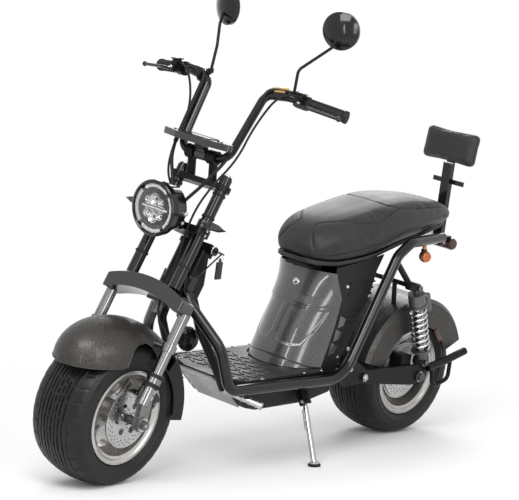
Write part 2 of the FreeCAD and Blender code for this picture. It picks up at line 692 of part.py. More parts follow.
def front_fender():
    half, skin, nose = size("fender_half"), size("fender_skin"), size("fender_nose")
    outer = fender_ring(half, 90, 133).fuse(fender_ball(half, nose))
    inner = fender_ring(half - skin, 85, 138).fuse(fender_ball(half - skin, nose - skin))
    below = Part.makeBox(600, 400, 200, Vector(FENDER_X - 300, -200, FENDER_Z + 26.8))
    notch = Part.makeCylinder(66, 400, Vector(FENDER_X - 55.7, -200, FENDER_Z + 221.7), Vector(0, 1, 0))
    return outer.cut([inner, notch, below]).removeSplitter()


keep(made("front_fender", front_fender()), "front_fender", TURN)
lowers = Part.makeCompound([lower_casting(), leg_clamp(), fender_stay()])
keep(made("fork_lowers", both_sides(lowers)), "fork_lowers", FORK)


def channel(radius, half, skirt, skin, start, stop):
    """U-section guard turned about a wheel's axis (local Z), angles from the row's +X towards +Z."""
    outline = [(radius - skirt, -half), (radius - 12, -half), (radius, -half + 12), (radius, half - 12),
               (radius - 12, half), (radius - skirt, half), (radius - skirt, half - skin),
               (radius - 12 - skin * 0.5, half - skin), (radius - skin, half - 12 - skin * 0.5),
               (radius - skin, -half + 12 + skin * 0.5), (radius - 12 - skin * 0.5, -half + skin),
               (radius - skirt, -half + skin)]
    corners = [Vector(r, 0, h) for r, h in outline]
    face = Part.Face(Part.makePolygon(corners + corners[:1]))
    face.rotate(Vector(), Z_AXIS, -start)
    return face.revolve(Vector(), Vector(0, 0, -1), stop - start)


flap = channel(size("tyre_radius") + 18, 112, 58, 4, 128, 188)
flap.Placement = front_axle
inside = fender_ring(size("fender_half") - size("fender_skin") - size("fit_gap"), 85, 140)
outside = fender_ring(size("fender_half") + 60, 90, 133.2).cut(inside)
keep(made("front_mud_flap", flap.cut(outside)), "front_mud_flap", TURN)
rear_guard = channel(rear_guard_radius, size("rear_fender_half"), size("rear_fender_skirt"),
                     size("fender_skin"), 14, 156)
keep(made("rear_fender", rear_guard), "rear_fender", BIKE, rear_axle)

# Headlamp
lamp_place = Placement(Vector(lamp_x, 0, size("lamp_z")), Rotation(Z_AXIS, Vector(1, 0, 0)))
lamp = revolve("headlamp_shell", [
    (0, "-Sizes.lamp_depth"),
    (34, "-Sizes.lamp_depth"),
    ("(Sizes.lamp_radius-14)", "-(Sizes.lamp_depth-34)"),
    ("(Sizes.lamp_radius-5)", "-24"),
    ("Sizes.lamp_radius", "-20"),
    ("Sizes.lamp_radius", "0"),
    ("(Sizes.lamp_radius-7)", "4"),
    ("(Sizes.lamp_radius-9)", "4"),
    ("(Sizes.lamp_radius-9)", "-12"),
    (0, "-12"),
])
keep(lamp, "headlamp_shell", TURN, lamp_place)
lens = revolve("headlamp_lens", [
    (0, "-(12-Sizes.fit_gap)"),
    ("(Sizes.lamp_radius-9-Sizes.fit_gap)", "-(12-Sizes.fit_gap)"),
    ("(Sizes.lamp_radius-9-Sizes.fit_gap)", "0"),
    ("(Sizes.lamp_radius-34)", "8"),
    (0, "12"),
])
keep(lens, "headlamp_lens", TURN, lamp_place)


def lamp_bracket():
    """Arm from the upper yoke to the back of the lamp shell, in the fork's own axes."""
    back = RAKED.inverse().multVec(Vector(lamp_x - size("lamp_depth"), 0, size("lamp_z")))
    low = size("yoke_low")
    outline = [(90, low), (90, low + size("yoke_thick")), (back.x - 2, low + 38), (back.x - 14, low - 14)]
    return slab(outline, -26, 26)


bracket = lamp_bracket()
lamp_blank = Part.makeCylinder(120, 200)
lamp_blank.Placement = RAKED.inverse() * Placement(
    Vector(lamp_x - size("lamp_depth") - size("fit_gap"), 0, size("lamp_z")),
    Rotation(Z_AXIS, Vector(1, 0, 0)))
keep(made("upper_yoke", yoke.fuse(bracket.cut(lamp_blank)).removeSplitter()), "upper_yoke", FORK)


def indicator_shape():
    """Leaf-shaped turn lamp on a short stalk from the upper tube."""
    leaf = [(0, 0), (30, 12), (66, 9), (92, 0), (66, -10), (30, -12)]
    body = slab([(y, w) for y, w in leaf], -9, 9, "yz")
    body = rounded(body, 5, lambda p: abs(abs(p.x) - 9) < 0.5)
    body.translate(Vector(118, 106, 836))
    stalk = rod((size("tube_offset") + 12, size("tube_spread") + 14, 836), (118, 122, 836), 6)
    sleeve = Part.makeCylinder(size("tube_radius") + 5, 22, Vector(u_t, y_t, 829.5))
    sleeve = sleeve.cut(Part.makeCylinder(size("tube_radius") + size("fit_gap"), 60, Vector(u_t, y_t, 820)))
    bore = Part.makeCylinder(size("tube_radius") + size("fit_gap"), 60, Vector(u_t, y_t, 820))
    return body.fuse([stalk, sleeve]).cut(bore).removeSplitter()


keep(made("front_indicators", both_sides(indicator_shape())), "front_indicators", FORK)

# Frame: head tube, neck cover and the two hoop rails
head = fuse("head_wall", [
    cylinder("head_barrel", "Sizes.head_radius", "Sizes.head_high-Sizes.head_low",
             Placement(Vector(0, 0, size("head_low")), Rotation())),
    cylinder("head_cup", "Sizes.head_radius+5", 14, Placement(Vector(0, 0, size("head_low")), Rotation())),
    cylinder("head_race", "Sizes.head_radius+5", 14,
             Placement(Vector(0, 0, size("head_high") - 14), Rotation())),
])
head_bore = cylinder("head_bore", "Sizes.stem_radius+Sizes.running_gap", "Sizes.head_high",
                     Placement(Vector(0, 0, 100), Rotation()))
UNTURNED = BIKE * RAKED
keep(cut("head_tube", head, head_bore), "head_tube", UNTURNED)


def neck_shape():
    """Gusset box behind the head tube that gathers both rails."""
    outline = [(-22, 660), (-22, 792), (-58, 786), (-96, 700), (-96, 610), (-60, 600)]
    box = slab(outline, -46, 46)
    box = rounded(box, 10, lambda p: abs(abs(p.y) - 46) < 0.5)
    box = box.fuse(Part.makeBox(26, 92, 40, Vector(-68, -46, 776)))
    keepout = Part.makeCylinder(size("head_radius") + 5 + size("fit_gap"), 400, Vector(0, 0, 500))
    return box.cut(keepout)


neck = neck_shape()

# Rail centre line, left side: x, y, z, bend radius
RAIL = [
    (*ahead(-336.0, 42.0, 612.0), 0.0),
    (*ahead(-319.0, 52.0, 549.0), 50.0),
    (*ahead(-388.0, 158.0, 415.0), 120.0),
    (*ahead(-423.0, size("rail_half"), size("floor_z")), 46.0),
    (-205.0, size("rail_half"), size("floor_z") - 14.0, 120.0),
    (-424.0, 154.0, 650.0, 60.0),
    (-486.0, 152.0, 690.0, 50.0),
    (-700.0, 110.0, 686.0, 0.0),
]


def rail_shape(radius):
    points = [row[:3] for row in RAIL]
    return tube(points, [row[3] for row in RAIL[1:-1]], radius)


rail = rail_shape(size("rail_radius"))
rail_room = both_sides(rail_shape(size("rail_radius") + size("fit_gap")))
neck_upright = neck.copy()
neck_upright.Placement = RAKED
DOWN = [ahead(-355.0, 40.0, 560.0), ahead(-368.0, 84.0, 452.0), ahead(-440.0, 104.0, 330.0),
        ahead(-478.0, 104.0, 268.0)]
DOWN_BENDS = [70.0, 90.0]
down_room = both_sides(tube(DOWN, DOWN_BENDS, 14 + size("fit_gap")))
neck_cut = neck_upright.cut(rail_room).cut(down_room)
keep(made("neck", neck_cut), "neck", BIKE)
neck_room = neck_upright.copy()
neck_room.translate(Vector(0, 0, -size("fit_gap")))
keep(made("rails", both_sides(rail)), "rails", BIKE)

# Lighter inner down tubes under the neck
down = tube(DOWN, DOWN_BENDS, 14)
keep(made("down_tubes", both_sides(down).cut(rail_room)), "down_tubes", BIKE)

# Floor deck and mat
floor_z = size("floor_z")
deck_half = size("rail_half") - size("rail_radius") - 4
deck_front = axis_foot - 476.0
deck_outline = [(deck_front - 18, -deck_half + 40), (deck_front, -60), (deck_front, 60),
                (deck_front - 18, deck_half - 40), (deck_front - 44, deck_half),
                (-214, deck_half), (-214, -deck_half), (deck_front - 44, -deck_half)]
deck = slab(deck_outline, floor_z, floor_z + size("deck_thick"), "xy")
keep(made("floor_deck", deck.cut(down_room)), "floor_deck", BIKE)
mat_low = floor_z + size("deck_thick") + size("fit_gap")
mat_outline = [(deck_front - 18, -deck_half + 44), (deck_front + 10, -58), (deck_front + 10, 58),
               (deck_front - 18, deck_half - 44), (deck_front - 52, deck_half - 6),
               (-130, deck_half - 6), (-130, 142), (-10, 60), (-10, -60), (-130, -142),
               (-130, -deck_half + 6), (deck_front - 52, -deck_half + 6)]
mat = slab(mat_outline, mat_low, mat_low + size("mat_thick"), "xy")
tower_nose, tower_side, nose_half = -6.0, -132.0, size("tower_half")
nose_round = ((tower_nose - tower_side) ** 2 + nose_half ** 2) / (2 * (tower_nose - tower_side))
tower_room = Part.makeCylinder(nose_round + 1, 60, Vector(tower_nose - nose_round, 0, mat_low - 10))
keep(made("floor_mat", mat.cut(tower_room).cut(down_room)), "floor_mat", BIKE)

# Belly: closed tub for the controller, pale front plate
strap_top = floor_z - size("fit_gap")
strap_low = strap_top - 5
belly_top = strap_low - size("fit_gap")
STRAPS = [deck_front - 74.0, -40.0, -160.0]
straps = [Part.makeBox(36, 2 * size("rail_half"), 5, Vector(x - 18, -size("rail_half"), strap_low))
          for x in STRAPS]
strap_set = Part.makeCompound(straps).cut(rail_room)
BELLY = [(214, belly_top), (252, belly_top), (160, 196), (118, size("belly_low")), (-110, size("belly_low")),
         (-214, 206), (-224, belly_top)]
belly = slab(BELLY, -size("belly_half"), size("belly_half"))
belly = rounded(belly, 12, lambda p: abs(abs(p.y) - size("belly_half")) < 0.5 and p.z < 240)
keep(made("belly_tub", belly), "belly_tub", BIKE)
skid_line = [(298, 304), (253.6, belly_top - 1), (161.8, 194.8), (164, 191.4), (257, belly_top - 6), (301, 300)]
keep(made("skid_plate", slab(skid_line, -88, 88)), "skid_plate", BIKE)

# Seat sections along the machine: x, underside z, widest z, top z, half widths low and wide
SEAT = [
    (-92.0, 638.0, 662.0, 690.0, 62.0, 78.0),
    (-118.0, 634.0, 680.0, 728.0, 88.0, 104.0),
    (-190.0, 634.0, 700.0, 764.0, 120.0, 134.0),
    (-330.0, 652.0, 722.0, 796.0, 132.0, 150.0),
    (-480.0, 680.0, 742.0, 818.0, 112.0, 148.0),
    (-640.0, 708.0, 756.0, 810.0, 92.0, 130.0),
    (-740.0, 720.0, 758.0, 792.0, 72.0, 104.0),
    (-796.0, 732.0, 750.0, 768.0, 44.0, 56.0),
]


# Tower under the seat
TOWER_LEVELS = [
    # height, front x at the middle, x where the sides begin, half width
    (mat_low, tower_nose, tower_side, nose_half),
    (420.0, -56.0, -172.0, size("tower_half") - 2),
    (520.0, -104.0, -192.0, size("tower_half") - 2),
    (600.0, -132.0, -170.0, size("tower_half") - 18),
]
TOWER_RETURN = 6.0


def tower_ring(height, front, side, half, inset):
    """Open front wall line at one height: middle arc and two returns."""
    nose = front - inset
    outer = Part.Arc(Vector(side, half - inset, height), Vector(nose, 0, height),
                     Vector(side, -half + inset, height))
    back = side - TOWER_RETURN
    edges = [outer.toShape(),
             Part.LineSegment(Vector(side, -half + inset, height), Vector(back, -half + inset, height)).toShape(),
             Part.LineSegment(Vector(back, -half + inset, height), Vector(back, half - inset, height)).toShape(),
             Part.LineSegment(Vector(back, half - inset, height), Vector(side, half - inset, height)).toShape()]
    return Part.Wire(edges)


def tower_front():
    """Hollow front cover: the outer loft less the inner one."""
    outer = Part.makeLoft([tower_ring(*row, 0) for row in TOWER_LEVELS], True, True)
    inner = Part.makeLoft([tower_ring(*row, size("skin")) for row in TOWER_LEVELS], True, True)
    inner = inner.fuse(inner.translated(Vector(1 - TOWER_RETURN, 0, 0)))
    return outer.cut(inner)


keep(made("tower_front", tower_front()), "tower_front", BIKE)


def side_cover():
    """Flat matt panel from the front cover back to the rail line, trimmed under the seat."""
    rings = []
    for height, _, side, half in TOWER_LEVELS + [(690.0, 0, TOWER_LEVELS[-1][2], TOWER_LEVELS[-1][3])]:
        front = side - TOWER_RETURN - size("fit_gap")
        back = back_line(height) + 2
        ring = [Vector(front, half - size("skin"), height), Vector(back, half - size("skin"), height),
                Vector(back, half, height), Vector(front, half, height)]
        rings.append(Part.makePolygon(ring + ring[:1]))
    panel = Part.makeLoft(rings, True, True)
    under_seat = [(x, low - size("pan_thick") - 3) for x, low, _, _, _, _ in SEAT]
    above = under_seat + [(SEAT[-1][0], 1000), (SEAT[0][0], 1000)]
    return panel.cut(slab(above, -300, 300))


BACK_LOW, BACK_HIGH = (-218.0, 302.0), (-400.0, 650.0)


def back_line(height):
    """x of the tower's rear wall at that height."""
    share = (height - BACK_LOW[1]) / (BACK_HIGH[1] - BACK_LOW[1])
    return BACK_LOW[0] + share * (BACK_HIGH[0] - BACK_LOW[0])


cover = side_cover()
keep(made("side_covers", both_sides(cover)), "side_covers", BIKE)
wall_top = 636.0
BACK_WALL = [(back_line(mat_low), mat_low), (back_line(mat_low) - 5, mat_low),
             (back_line(wall_top) - 5, wall_top), (back_line(wall_top), wall_top)]
back_half = TOWER_LEVELS[-1][3] - size("skin") - 0.5
back_wall = slab(BACK_WALL, -back_half, back_half)

# Inside the tower: hinge post for the seat and the battery
deck_top = floor_z + size("deck_thick") + size("fit_gap")
POST = [(-46, deck_top), (-60, deck_top), (-182, 603), (-182, 611), (-118, 611), (-118, 603), (-170, 603)]
HINGE = Vector(-124, 0, 612)
HINGE_PIN, HINGE_EYE, HINGE_HALF = 4.0, 8.0, 30.0


def hinge_post():
    """Plate up the inside of the tower, its shelf and two ears with the seat's hinge pin."""
    gap, left = size("fit_gap"), Vector(0, 1, 0)
    shape = slab(POST, -50, 50)
    for y in (-HINGE_HALF - 14, HINGE_HALF):
        shape = shape.fuse(Part.makeCylinder(HINGE_EYE, 14, Vector(HINGE.x, y, HINGE.z), left))
    room = Part.makeBox(60, 2 * HINGE_HALF + 2 * gap, 40, Vector(HINGE.x - 14, -HINGE_HALF - gap, HINGE.z - 20))
    pin = Part.makeCylinder(HINGE_PIN, 2 * HINGE_HALF + 28, Vector(HINGE.x, -HINGE_HALF - 14, HINGE.z), left)
    return shape.cut(room).fuse(pin).removeSplitter()


keep(made("tower_frame", Part.makeCompound([back_wall, hinge_post()])), "tower_frame", BIKE)
BATTERY = [(-72, deck_top), (-190, deck_top), (-286, 552), (-182, 584)]
keep(made("battery", slab(BATTERY, -95, 95)), "battery", BIKE)

# Seat
def seat_section(x, low, wide_z, top, half_low, half_wide):
    corner_y, corner_z = half_wide * 0.72, top - (top - wide_z) * 0.22
    right = Part.Arc(Vector(x, half_wide, wide_z), Vector(x, corner_y, corner_z), Vector(x, 0, top))
    left = Part.Arc(Vector(x, 0, top), Vector(x, -corner_y, corner_z), Vector(x, -half_wide, wide_z))
    return Part.Wire([
        Part.LineSegment(Vector(x, -half_low, low), Vector(x, half_low, low)).toShape(),
        Part.LineSegment(Vector(x, half_low, low), Vector(x, half_wide, wide_z)).toShape(),
        right.toShape(), left.toShape(),
        Part.LineSegment(Vector(x, -half_wide, wide_z), Vector(x, -half_low, low)).toShape(),
    ])


seat = Part.makeLoft([seat_section(*row) for row in SEAT], True, True)
keep(made("seat_cushion", seat), "seat_cushion", BIKE)


def seat_pan():
    """Moulded base under the cushion, following its underside."""
    inset, gap, thick = 8, size("fit_gap"), size("pan_thick")
    wires = []
    for x, low, _, _, half_low, _ in SEAT:
        half, top = half_low - inset, low - gap
        ring = [Vector(x, -half, top - thick), Vector(x, half, top - thick), Vector(x, half, top),
                Vector(x, -half, top)]
        wires.append(Part.makePolygon(ring + ring[:1]))
    pan = Part.makeLoft(wires, True, True)
    knuckle = Part.makeCylinder(HINGE_EYE, 2 * HINGE_HALF, Vector(HINGE.x, -HINGE_HALF, HINGE.z),
                                Vector(0, 1, 0))
    tongue = Part.makeBox(12, 2 * HINGE_HALF, 16, Vector(HINGE.x - 6, -HINGE_HALF, HINGE.z + 2))
    bore = Part.makeCylinder(HINGE_PIN + size("running_gap"), 80, Vector(HINGE.x, -40, HINGE.z),
                             Vector(0, 1, 0))
    return pan.fuse([knuckle, tongue]).cut(bore).removeSplitter()


keep(made("seat_pan", seat_pan()), "seat_pan", BIKE)

# Backrest
rail_end_z = RAIL[-1][2]
RACK_LOW = rail_end_z - size("rail_radius") - 6 - size("fit_gap")
POST_X, POST_LOW, POST_TOP = -822.0, RACK_LOW + 6, 935.0
pad_place = Placement(Vector(POST_X + 2, 0, 971), Rotation(Vector(0, 1, 0), -8))


def backrest_pad(grow):
    deep, wide, tall = 46 + 2 * grow, 222 + 2 * grow, 116 + 2 * grow
    box = Part.makeBox(deep, wide, tall, Vector(-deep / 2, -wide / 2, -tall / 2))
    return rounded(box, 20 + grow, lambda p: True)


pad_room = made("pad_room", backrest_pad(size("fit_gap")))
pad_room.Placement = pad_place
post = cut("post_tube", block("post_bar", 20, 34, POST_TOP - POST_LOW, (POST_X - 10, -17, POST_LOW)), pad_room)
RACK = [(-676, 122), (-708, 122), (-760, 45), (-836, 45), (-836, -45), (-760, -45), (-708, -122), (-676, -122)]
rack = made("rack_plate", slab(RACK, RACK_LOW, RACK_LOW + 6, "xy"))
hooks = block("hook_bar", 6, 128, 16, (POST_X - 13, -64, 842))
keep(fuse("backrest_post", [post, rack, hooks]), "backrest_post", BIKE)


keep(made("backrest_pad", backrest_pad(0)), "backrest_pad", BIKE, pad_place)

# Swing arm
SHOCK_TOP = Vector(-547, size("shock_y"), 536)
AXLE = (rear_x, size("tyre_radius"))
SHOCK_LOW = Vector(AXLE[0] + 10, size("shock_y"), AXLE[1] + 56)
PIVOT = (-352.0, 250.0)


def swing_arm():
    y = size("swing_y")
    outline = [(PIVOT[0] + 22, PIVOT[1] - 20), (PIVOT[0] + 22, PIVOT[1] + 20), (AXLE[0] + 60, AXLE[1] + 42),
               (AXLE[0] - 24, AXLE[1] + 38), (AXLE[0] - 34, AXLE[1] - 22), (AXLE[0] + 40, AXLE[1] - 26)]
    side = slab(outline, y - 7, y + 7)
    side = side.cut(rod((AXLE[0], 0, AXLE[1]), (AXLE[0], 300, AXLE[1]), size("axle_radius") + size("fit_gap")))
    tab = rod((SHOCK_LOW.x, y - 7, SHOCK_LOW.z), (SHOCK_LOW.x, y + 7, SHOCK_LOW.z), 18)
    pin = rod((SHOCK_LOW.x, y, SHOCK_LOW.z), (SHOCK_LOW.x, size("shock_y") + 16, SHOCK_LOW.z), 8)
    side = side.fuse([tab, pin])
    cross = rod((PIVOT[0], -y, PIVOT[1]), (PIVOT[0], y, PIVOT[1]), 18)
    return cross.fuse([side, mirrored(side)]).removeSplitter()


keep(made("swing_arm", swing_arm()), "swing_arm", BIKE)
swing_in, swing_out = size("swing_y") - 7, size("swing_y") + 7
motor_face = size("hub_half") - 30 + size("fit_gap") + size("disc_thick")
keep(made("rear_axle", axle_shape(swing_out + 16, motor_face + 1, swing_in - size("fit_gap"))),
     "rear_axle", BIKE, rear_axle)


# Shock absorbers
def shock_body():
    down_dir = (SHOCK_LOW - SHOCK_TOP).normalize()
    total = (SHOCK_LOW - SHOCK_TOP).Length
    rod_part = Part.makeCylinder(9, total, SHOCK_TOP, down_dir)
    shroud = Part.makeCylinder(28, 48, SHOCK_TOP + down_dir * 22, down_dir)
    foot = Part.makeCylinder(20, 26, SHOCK_TOP + down_dir * (total - 44), down_dir)
    shape = rod_part.fuse([shroud, foot])
    for point in (SHOCK_TOP, SHOCK_LOW):
        shape = shape.fuse(Part.makeCylinder(15, 24, point - Vector(0, 12, 0), Vector(0, 1, 0)))
        shape = shape.cut(Part.makeCylinder(8 + size("fit_gap"), 60, point - Vector(0, 30, 0), Vector(0, 1, 0)))
    return shape.removeSplitter()


keep(made("shock_bodies", both_sides(shock_body())), "shock_bodies", BIKE)


def spring_shape():
    """Coil spring as one sleeve between shroud and foot."""
    down_dir = (SHOCK_LOW - SHOCK_TOP).normalize()
    total = (SHOCK_LOW - SHOCK_TOP).Length
    sleeve = Part.makeCylinder(size("spring_radius"), total - 114.6, SHOCK_TOP + down_dir * 70.3, down_dir)
    return sleeve.cut(Part.makeCylinder(9 + size("fit_gap"), total, SHOCK_TOP, down_dir))


keep(made("shock_springs", both_sides(spring_shape())), "shock_springs", BIKE)


def subframe():
    """Struts from the rails to the shocks' upper eyes, joined by a tube across."""
    y, top = size("shock_y"), SHOCK_TOP
    pin = rod((top.x, -y - 16, top.z), (top.x, y + 16, top.z), 8)
    boss = rod((top.x, y - 34, top.z), (top.x, y - 13, top.z), 15)
    strut = rod((-428, 140, 640), (top.x, y - 24, top.z), 10).cut(rail_room)
    stay = rod((top.x, 60, top.z), (top.x - 16, 60, AXLE[1] + 200), 8)
    fender_room = rod((AXLE[0], -200, AXLE[1]), (AXLE[0], 200, AXLE[1]),
                      rear_guard_radius + size("fit_gap"))
    pieces = [strut, mirrored(strut), boss, mirrored(boss), stay, mirrored(stay)]
    return pin.fuse(pieces).cut(fender_room).removeSplitter()


def pivot_plates():
    """Plates between the rails' lower bends and the swing arm's pivot bolt."""
    inner = size("swing_y") + 7 + size("fit_gap")
    outline = [(-222, 262), (-222, 300), (-258, 340), (PIVOT[0] - 20, PIVOT[1] + 18),
               (PIVOT[0] - 20, PIVOT[1] - 18), (-262, 226)]
    side = slab(outline, inner, inner + 6)
    bolt = rod((PIVOT[0], inner + 6, PIVOT[1]), (PIVOT[0], inner + 14, PIVOT[1]), 12)
    boss = rod((-238, inner + 6, 298), (-238, size("rail_half"), 298), 14).cut(rail_room)
    return side.fuse([bolt, boss]).removeSplitter()


# Side stand: pivot pin tilted so that the leg folds back under the rail
STAND_PIVOT = Vector(-64, 154, 208)
FOOT_ON_GROUND = Vector(-5, 283, 0)
SOLE = 14.0
EYE_HALF = 7.0
foot_upright = LEANED.inverse().multVec(FOOT_ON_GROUND + Vector(0, 0, SOLE / 2))
leg_out = (foot_upright - STAND_PIVOT).normalize()
leg_folded = Vector(-1, 0.1, -0.03).normalize()
stand_axis = leg_out.cross(leg_folded).normalize()
stand_up = (Z_AXIS - stand_axis * stand_axis.z).normalize()
stand_frame = Placement(STAND_PIVOT, Rotation(stand_up, stand_axis.cross(stand_up), stand_axis, "ZXY"))
PIN_RADIUS = 6.0


def stand_shape():
    """Leg from its eye on the pivot pin to a small foot whose sole lies flat on the ground."""
    to_upright = LEANED.inverse()
    sole = Part.makeCylinder(16, SOLE, FOOT_ON_GROUND)
    sole.Placement = to_upright * sole.Placement
    eye = Part.makeCylinder(13, 2 * EYE_HALF, STAND_PIVOT - stand_axis * EYE_HALF, stand_axis)
    leg = rod(STAND_PIVOT + leg_out * 23, foot_upright, 9).fuse(
        rod(STAND_PIVOT + leg_out * 8, STAND_PIVOT + leg_out * 26, 6.5))
    bore = Part.makeCylinder(PIN_RADIUS + size("running_gap"), 80, STAND_PIVOT - stand_axis * 40, stand_axis)
    ground = Part.makeBox(400, 400, 100, FOOT_ON_GROUND + Vector(-200, -200, -100))
    ground.Placement = to_upright * ground.Placement
    return leg.fuse([sole, eye]).cut(bore).cut(ground).removeSplitter()


keep(made("side_stand", stand_shape()), "side_stand", BIKE)


def stand_bracket():
    """Fork-eared bracket under the floor that holds the stand's pivot pin."""
    gap = size("fit_gap")
    pieces = []
    for low in (EYE_HALF + gap, -EYE_HALF - gap - 6):
        ear = Part.makeBox(44, 28, 6, Vector(-14, -14, low))
        ear.Placement = stand_frame
        pieces.append(ear)
    bridge = Part.makeBox(13, 28, 2 * EYE_HALF + 12 + 2 * gap, Vector(17, -14, -EYE_HALF - gap - 6))
    bridge.Placement = stand_frame
    pin = Part.makeCylinder(PIN_RADIUS, 40, Vector(0, 0, -20))
    pin.Placement = stand_frame
    hanger = Part.makeBox(30, 10, strap_low - gap - 226, Vector(STAND_PIVOT.x - 15, 124, 226))
    return hanger.fuse(pieces + [bridge, pin]).removeSplitter()


keep(made("shock_frame", subframe()), "shock_frame", BIKE)
brackets = [strap_set, both_sides(pivot_plates()), stand_bracket()]
keep(made("deck_brackets", Part.makeCompound(brackets)), "deck_brackets", BIKE)

# Fold-out pegs beside the front of the floor
PEG_ROOT, PEG_TIP = Vector(*ahead(-472, 119, 266)), Vector(*ahead(-518, 226, 244))
peg_end = rod(PEG_TIP, PEG_TIP + (PEG_TIP - PEG_ROOT).normalize() * 6, 12)
peg = rod(PEG_ROOT, PEG_TIP, 9).fuse(peg_end).cut(down_room)
keep(made("foot_pegs", both_sides(peg.removeSplitter())), "foot_pegs", BIKE)

# Horn under the neck
horn = revolve("horn_body", [(0, -20), (30, -20), (38, -8), (38, 0), (34, 4), (28, 0), (22, 6), (0, 6)])
horn.Placement = Placement(Vector(*ahead(-402, 0, 404)), Rotation(Z_AXIS, Vector(1, 0, 0.25)))
HORN_HANGER = [(-361, 480), (-361, 520), (-353, 520), (-353, 478), (-410, 396), (-418, 398)]
hanger = slab([(axis_foot + x, z) for x, z in HORN_HANGER], -9, 9)
hanger = min(hanger.cut(neck_room).Solids, key=lambda solid: solid.CenterOfMass.z)
horn_hanger = made("horn_hanger", hanger)
keep(fuse("horn_unit", [horn, horn_hanger]), "horn", BIKE)

# Lights at the rear
tail = revolve("tail_lamp", [(0, -62), (16, -62), (20, -56), (20, 56), (16, 62), (0, 62)])
keep(tail, "tail_lamp", BIKE, Placement(Vector(-834, 0, RACK_LOW - 20 - size("fit_gap")), to_left))


def rear_indicator():
    """Round amber lamp on a stalk below the rail."""
    lamp_body = Part.makeCylinder(17, 26, Vector(-577, 138, 638), Vector(0.35, 0.93, 0))
    lamp_body = rounded(lamp_body, 6, lambda p: p.y > 152)
    stalk = rod((-572, 134, 700), (-574, 146, 640), 7)
    return lamp_body.fuse(stalk).cut(rail_room).removeSplitter()


keep(made("rear_indicators", both_sides(rear_indicator())), "rear_indicators", BIKE)

# Guard bars behind the swing arm: a straight bar and the loop below it
guard_y = size("swing_y") + 8
bar_line = [(-676, guard_y + 10, 250), (-770, guard_y + 10, 266), (-868, guard_y + 10, 290)]
guard = tube(bar_line, [200], 13)
loop = tube([(-700, guard_y + 10, 250), (-716, guard_y + 10, 178), (-796, guard_y + 10, 200),
             (-796, guard_y + 10, 270)], [24, 24], 7)
keep(made("rear_guards", both_sides(guard.fuse(loop).removeSplitter())), "rear_guards", BIKE)

# Rear brake caliper on the inside of the swing arm
def rear_caliper():
    body = Part.makeBox(46, swing_in - size("fit_gap") - 58, 50, Vector(AXLE[0] + 36, 58, AXLE[1] + 24))
    disc_room = Part.makeCylinder(size("disc_radius") + 8, 74, Vector(AXLE[0], 0, AXLE[1]), Vector(0, 1, 0))
    return rounded(body, 6, lambda p: p.x > AXLE[0] + 81 and p.z > AXLE[1] + 30).cut(disc_room)


keep(made("rear_caliper", rear_caliper()), "rear_caliper", BIKE)

# Key in its lock on the neck's left face, with a tag hanging from it, in the fork's unturned axes
lock_y = 46 + size("fit_gap")
lock = Part.makeCylinder(13, 12, Vector(-55, lock_y, 800), Vector(0, 1, 0))
key_blade = Part.makeBox(16, 22, 3, Vector(-63, lock_y + 8, 798.5))
key_head = Part.makeCylinder(13, 3, Vector(-55, lock_y + 36, 798.5))
strap_top_point, strap_low_point = Vector(-55, lock_y + 42, 800), Vector(2, lock_y + 40, 690)
tag = Part.makeBox(24, 8, 44, Vector(-10, lock_y + 36, 652))
key_set = lock.fuse([key_blade, key_head, rod(strap_top_point, strap_low_point, 2.5),
                     rounded(tag, 3, lambda p: True)]).removeSplitter()
keep(made("key_set", key_set), "key_set", UNTURNED)

# Hoses: left one from its perch through the crown to the caliper, right one to the lamp; TURN axes
def upright(u, y, w):
    return tuple(RAKED.multVec(Vector(u, y, w)))


HOSE_TOP = [ahead(-463.9, 233.7, 1199), ahead(-450, 184, 1206), ahead(-422, 124, 1088), ahead(-366, 124, 985),
            ahead(-310, 88, 900)]
LEFT_HOSE = HOSE_TOP + [ahead(-280, 54, 800), upright(HOSE_U, HOSE_Y, 700), upright(HOSE_U, HOSE_Y, 548),
                        upright(34, 120, 500), upright(22, 121, 420), upright(-21, 104, 350)]
RIGHT_HOSE = HOSE_TOP + [ahead(-304, 34, 848), ahead(-296, 16, 834), ahead(-277.3, 16, 834)]
left_hose = tube(LEFT_HOSE, [18, 40, 60, 60, 80, 50, 40, 30, 50], size("hose_radius"))
right_hose = mirrored(tube(RIGHT_HOSE, [18, 40, 60, 40, 12, 8], size("hose_radius")))
keep(made("brake_cables", Part.makeCompound([left_hose, right_hose])), "brake_cables", TURN)

doc.recompute()
broken = [o.Name for o in doc.Objects if "Invalid" in o.State or "Error" in o.State]
if broken:
    raise RuntimeError("features that failed: " + ", ".join(broken))
for obj in parts:
    if obj.Shape.isNull() or not obj.Shape.isValid():
        raise RuntimeError("bad shape: " + obj.Label)

os.makedirs("parts", exist_ok=True)
for obj in parts:
    obj.Shape.exportStep(os.path.join("parts", obj.Label + ".step"))
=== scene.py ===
import math

import bmesh
import bpy
from mathutils import Matrix, Vector
from mathutils.bvhtree import BVHTree
from mathutils.kdtree import KDTree


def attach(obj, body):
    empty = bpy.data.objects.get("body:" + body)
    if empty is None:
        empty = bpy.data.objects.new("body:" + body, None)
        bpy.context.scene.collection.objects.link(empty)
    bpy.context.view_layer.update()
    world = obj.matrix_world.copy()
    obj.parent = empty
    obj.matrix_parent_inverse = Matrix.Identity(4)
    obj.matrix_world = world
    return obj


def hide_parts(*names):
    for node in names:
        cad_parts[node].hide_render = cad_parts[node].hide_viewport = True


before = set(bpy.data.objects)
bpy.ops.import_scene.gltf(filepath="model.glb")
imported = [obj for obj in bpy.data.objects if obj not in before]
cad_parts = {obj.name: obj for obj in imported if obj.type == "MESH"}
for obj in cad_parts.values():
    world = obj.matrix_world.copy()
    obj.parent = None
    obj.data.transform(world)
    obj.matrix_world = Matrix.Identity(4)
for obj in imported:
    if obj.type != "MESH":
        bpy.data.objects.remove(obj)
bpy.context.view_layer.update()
scene = bpy.context.scene

